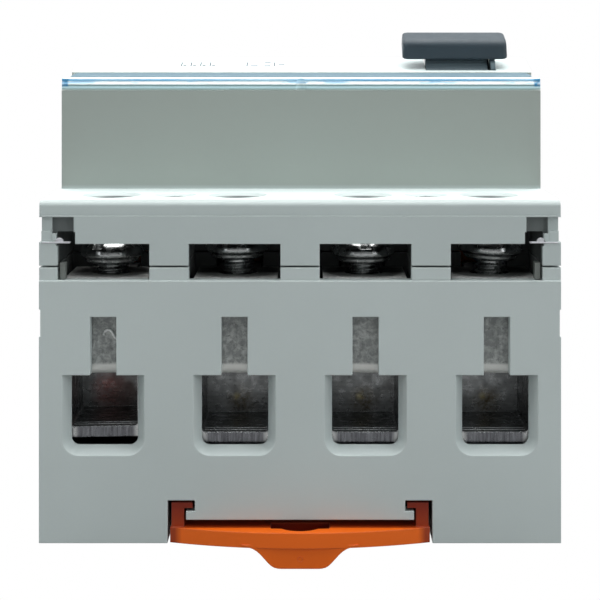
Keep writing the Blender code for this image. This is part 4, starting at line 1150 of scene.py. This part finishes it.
def strip_mesh_of(tail):
    """The bent conductor: busbar plate above, web down the front, clamping shelf below."""
    r_out, thick, f = 1.7, 1.25, STRIP_Y + 0.05
    web = [(f, SHELF_Z0 + r_out)] + arc(f + r_out, SHELF_Z0 + r_out, r_out, 180, 270, 8)
    web += [(0, SHELF_Z0), (0, SHELF_Z0 + thick + 0.1), (f + thick + 0.35, SHELF_Z0 + thick + 0.1), (f + thick, SHELF_Z0 + thick + 0.6)]
    web += [(f + thick, PLATE_Z0 + 0.2), (0, PLATE_Z0 + 0.2), (0, PLATE_Z1 - 0.05)]
    web += arc(f + 0.9, PLATE_Z1 - 0.05 - 0.9, 0.9, 90, 180, 6)
    body = outline("strip_source", web, "YZ", -2.05, 2.05, PARTS)
    join(body, boxes("strip_plate", [(-5.8, 5.8, STRIP_Y, 5.0, PLATE_Z0, PLATE_Z1)]))
    join(body, boxes("strip_tail", [(-3.0, 3.0, 4.0, tail, PLATE_Z0 + 0.02, PLATE_Z1 - 0.02)]))
    join(body, boxes("strip_shelf", [(-4.2, 4.2, STRIP_Y + 1.7, 4.2, SHELF_Z0 + 0.02, SHELF_Z1 - 0.1)]))
    cut(body, cylinders("strip_hole", [(0, 0, 30, 34, 2.8)], segments=40))
    # the plate's sheared front edge is ragged
    rng = random.Random(5)
    nicks, x = [], -5.9
    while x < 5.8:
        w = rng.uniform(0.15, 0.5)
        nicks.append((x, x + w, STRIP_Y - 1, STRIP_Y + rng.uniform(0.05, 0.35), PLATE_Z1 - rng.uniform(0.04, 0.2), PLATE_Z1 + 1))
        x += w + rng.uniform(0.1, 0.45)
    cut(body, boxes("strip_nicks", nicks))
    return baked(body)


strip_meshes = {"load": strip_mesh_of(SCREW_Y - 22.5), "line": strip_mesh_of(SCREW_Y - 5.5)}
TURNS = (23, 52, -3, 65)
for end_name, end in (("load", -1), ("line", 1)):
    turn = Matrix.Rotation(math.pi if end > 0 else 0, 4, "Z")
    angles = TURNS if end < 0 else TURNS[::-1]
    for k, x in enumerate(POLES):
        number = k + 1
        place = Matrix.Translation((x * MM, end * SCREW_Y * MM, 0))
        # heads sit at slightly different heights
        spin = Matrix.Rotation(math.radians(angles[k] * end), 4, "Z")
        lift, lean = ((-0.22, 0.0), (0.45, -0.5), (-0.12, 0.0), (0.3, 3.2))[k]
        lean = Matrix.Translation((0, 0, 33 * MM)) @ Matrix.Rotation(math.radians(lean * -end), 4, "Y") @ Matrix.Translation((0, 0, (lift - 33) * MM))
        piece = moved(head_mesh, place @ lean @ turn @ spin, f"clamp_screw_{end_name}_{number}")
        dress(piece, f"{end_name}_screw_{number}", [f"{end_name}_screw_{number}"], SCREW_MAT, 0, angle=38)
        up = 0.8 if (end_name == "load" and k == 0) else 0.0
        cage_piece = moved(cage_mesh_of(10 * number + (end > 0)), place @ turn @ Matrix.Translation((0, 0, up * MM)) @ (Matrix.Rotation(math.radians(-1.0), 4, "Y") if up else Matrix.Identity(4)), f"clamp_cage_{end_name}_{number}")
        dress(cage_piece, f"{end_name}_cage_{number}", [f"{end_name}_cage_{number}"], CAGE_MAT, 0.11, 2, 35)
        strip = moved(strip_meshes[end_name], place @ turn, f"conductor_{end_name}_{number}")
        dress(strip, "root", [f"{end_name}_terminal_{number}"], STRIP_MAT, 0.1, 2, 35)

# a curled burr of swarf left on the first pole's web
burr = wire("burr_source", [
    (POLES[0] + 0.42 + 0.62 * math.cos(t), -SCREW_Y + STRIP_Y - 0.10 - 0.05 * math.sin(t * 2), 25.55 + 0.62 * math.sin(t) * (1 if t > 0 else 1.3))
    for t in [math.radians(200 - i * 20) for i in range(10)]
] + [(POLES[0] + 1.25, -SCREW_Y + STRIP_Y - 0.12, 25.25), (POLES[0] + 1.7, -SCREW_Y + STRIP_Y - 0.06, 24.85)], 0.2, PARTS, None, 2)
settle(burr, "swarf_curl", "root", [], BURR_MAT, 0)


# ---------------------------------------------------------------- pieces that keep their frame shape
FINISH = {
    "toggle_pin": FRAME_MAT, "toggle_spring": SPRING_MAT, "test_button": BUTTON_MAT, "test_spring": SPRING_MAT,
    "test_resistor": CERAMIC_MAT, "mechanism_frame": FRAME_MAT, "drive_link": FRAME_MAT, "contact_carrier": BLACK_MAT,
    "secondary_winding": LACQUER_MAT, "transformer_case": BEIGE_MAT, "transformer_core": CORE_MAT,
    "relay_housing": BLACK_MAT, "relay_plunger": FRAME_MAT, "trip_lever": BEIGE_MAT,
}
for k in range(1, 5):
    FINISH[f"case_screw_{k}"] = SCREW_MAT
    FINISH[f"primary_wire_{k}"] = COPPER_MAT
    FINISH[f"moving_contact_{k}"] = COPPER_MAT
    FINISH[f"contact_spring_{k}"] = SPRING_MAT
for name, mat in FINISH.items():
    node = NODES[name]
    node.data.materials.clear()
    node.data.materials.append(mat)
    node.data.shade_smooth()
    node.data.set_sharp_from_angle(angle=math.radians(40))


# ---------------------------------------------------------------- generic print on the sloping face
def slope_z(y):
    return FACE_STEP + (FACE_TOP - FACE_STEP) * (y + 12.7) / 7.7


marks = []
for x0, x1, y0, y1 in [(-19.0 + 1.5 * n, -18.8 + 1.5 * n, -9.2, -7.0) for n in range(4)] + [
        (-18.6 + 1.5 * n, -18.1 + 1.5 * n, -9.2, -8.7) for n in range(4)] + [
        (-8.7, -8.5, -9.3, -7.0), (-8.0, -6.9, -9.3, -8.8), (-5.9, -4.9, -9.3, -8.8), (-5.9, -4.9, -7.5, -7.0), (-4.4, -4.2, -9.3, -7.0),
        (-3.7, -2.7, -8.3, -7.8)]:
    marks.append((x0, x1, y0, y1))
bm = bmesh.new()
for x0, x1, y0, y1 in marks:
    lift = 0.02
    corners = [(x0, y0, slope_z(y0)), (x1, y0, slope_z(y0)), (x1, y1, slope_z(y1)), (x0, y1, slope_z(y1))]
    low = [bm.verts.new((x, y, z - 0.05)) for x, y, z in corners]
    high = [bm.verts.new((x, y, z + lift)) for x, y, z in corners]
    bm.faces.new(low[::-1])
    bm.faces.new(high)
    for i in range(4):
        j = (i + 1) % 4
        bm.faces.new((low[i], low[j], high[j], high[i]))
mesh = bpy.data.meshes.new("face_print")
bm.to_mesh(mesh)
bm.free()
face_print = put(scaled(mesh), "face_print", PARTS)
dress(face_print, "root", [], PRINT_MAT, 0)


# ---------------------------------------------------------------- studio
bpy.ops.mesh.primitive_plane_add(size=6, location=(0, 0, -0.0052))
floor = bpy.context.object
floor.name = "studio_floor"
fm = Graph("studio_floor")
fm.done((0.2, 0.2, 0.2), 0.9)
glow = fm.add("ShaderNodeEmission")
seen_by = fm.add("ShaderNodeLightPath")
sweep = fm.add("ShaderNodeMixShader")
fm.link(seen_by.outputs["Is Camera Ray"], sweep.inputs[0])
fm.link(fm.shader.outputs[0], sweep.inputs[1])
fm.link(glow.outputs[0], sweep.inputs[2])
fm.link(sweep.outputs[0], fm.tree.nodes["Material Output"].inputs["Surface"])
sheen = fm.add("ShaderNodeEmission")
sheen.inputs["Strength"].default_value = FLOOR_SHEEN
sweep_two = fm.add("ShaderNodeMixShader")
fm.link(seen_by.outputs["Is Glossy Ray"], sweep_two.inputs[0])
fm.link(sweep.outputs[0], sweep_two.inputs[1])
fm.link(sheen.outputs[0], sweep_two.inputs[2])
fm.link(sweep_two.outputs[0], fm.tree.nodes["Material Output"].inputs["Surface"])
floor.data.materials.append(fm.mat)

# a white sweep behind and above, dim in front, so faces that look at the camera keep their tone
world = bpy.data.worlds.new("studio")
bpy.context.scene.world = world
world.use_nodes = True
tree = world.node_tree
room = tree.nodes["Background"]
room.inputs["Color"].default_value = (0.97, 0.99, 1.0, 1)


def world_node(kind, **settings):
    node = tree.nodes.new(kind)
    for key, value in settings.items():
        setattr(node, key, value)
    return node


heading = world_node("ShaderNodeSeparateXYZ")
tree.links.new(world_node("ShaderNodeTexCoord").outputs["Generated"], heading.inputs[0])
levels = []
for axis, low, high, dim, bright in (("Y", -0.2, 0.45, WORLD_FRONT, WORLD_BACK), ("Z", 0.1, 0.9, 0.0, WORLD_UP)):
    level = world_node("ShaderNodeMapRange", clamp=True)
    tree.links.new(heading.outputs[axis], level.inputs["Value"])
    for key, number in zip(("From Min", "From Max", "To Min", "To Max"), (low, high, dim, bright)):
        level.inputs[key].default_value = number
    levels.append(level.outputs["Result"])
total = world_node("ShaderNodeMath", operation="ADD")
tree.links.new(levels[0], total.inputs[0])
tree.links.new(levels[1], total.inputs[1])
tree.links.new(total.outputs[0], room.inputs["Strength"])
backdrop = world_node("ShaderNodeBackground")
backdrop.inputs["Color"].default_value = (1, 1, 1, 1)
blend = world_node("ShaderNodeMixShader")
tree.links.new(world_node("ShaderNodeLightPath").outputs["Is Camera Ray"], blend.inputs[0])
tree.links.new(room.outputs[0], blend.inputs[1])
tree.links.new(backdrop.outputs[0], blend.inputs[2])
tree.links.new(blend.outputs[0], tree.nodes["World Output"].inputs["Surface"])


def lamp(name, where, aim, size, power, colour=(1, 1, 1)):
    data = bpy.data.lights.new(name, "AREA")
    data.shape = "RECTANGLE"
    data.size, data.size_y = size
    data.energy = power
    data.color = colour
    light = bpy.data.objects.new(name, data)
    bpy.context.scene.collection.objects.link(light)
    light.location = where
    from mathutils import Vector
    light.rotation_euler = (Vector(aim) - Vector(where)).to_track_quat("-Z", "Y").to_euler()
    return light


lamp("top_softbox", (0.0, 0.02, 0.55), (0, 0, 0), (0.9, 0.5), TOP_POWER, (1.0, 1.0, 0.99))
lamp("front_softbox", (0.0, -0.45, 0.62), (0, 0, 0.02), (0.9, 0.45), FRONT_POWER, (0.97, 0.99, 1.0))
for side in ENDS:
    lamp(f"side_panel_{'left' if side < 0 else 'right'}", (side * 0.6, -0.45, 0.3), (0, 0, 0.02), (0.5, 0.6), SIDE_POWER * (1 + 0.3 * side), (0.97, 0.99, 1.0))
lamp("low_front_fill", (0.0, -0.95, 0.12), (0, 0, 0.02), (0.9, 0.5), FILL_POWER, (0.97, 0.99, 1.0))

camera_data = bpy.data.cameras.new("camera")
camera_data.sensor_width = 36
camera_data.lens = 36 * 1538 / 600
camera_data.clip_start = 0.01
camera = bpy.data.objects.new("camera", camera_data)
bpy.context.scene.collection.objects.link(camera)
camera.location = (0.0018, -0.2505, 0.065)
camera.rotation_euler = (math.radians(90), 0, 0)
bpy.context.scene.camera = camera
# the lens is shifted, as on a view camera, only while the camera stands at the front viewpoint, so that
# upright edges stay parallel there; moved anywhere else, it is a plain centred lens
for path, amount in (("shift_x", -13.25 / 600), ("shift_y", -253 / 600)):
    curve = camera_data.driver_add(path)
    curve.driver.type = "SCRIPTED"
    for name, kind in (("px", "LOC_X"), ("py", "LOC_Y"), ("pz", "LOC_Z")):
        var = curve.driver.variables.new()
        var.name = name
        var.type = "TRANSFORMS"
        var.targets[0].id = camera
        var.targets[0].transform_type = kind
        var.targets[0].transform_space = "WORLD_SPACE"
    curve.driver.expression = f"{amount:.6f} * (abs(px - 0.0018) < 0.0001) * (abs(py + 0.2505) < 0.0001) * (abs(pz - 0.065) < 0.0001)"
bpy.context.scene.view_settings.view_transform = "Standard"

for obj in list(CUTTERS.objects):
    bpy.data.objects.remove(obj, do_unlink=True)
for obj in list(PARTS.objects):
    if "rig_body" not in obj and obj.type == "MESH" and obj.parent is None:
        bpy.data.objects.remove(obj, do_unlink=True)
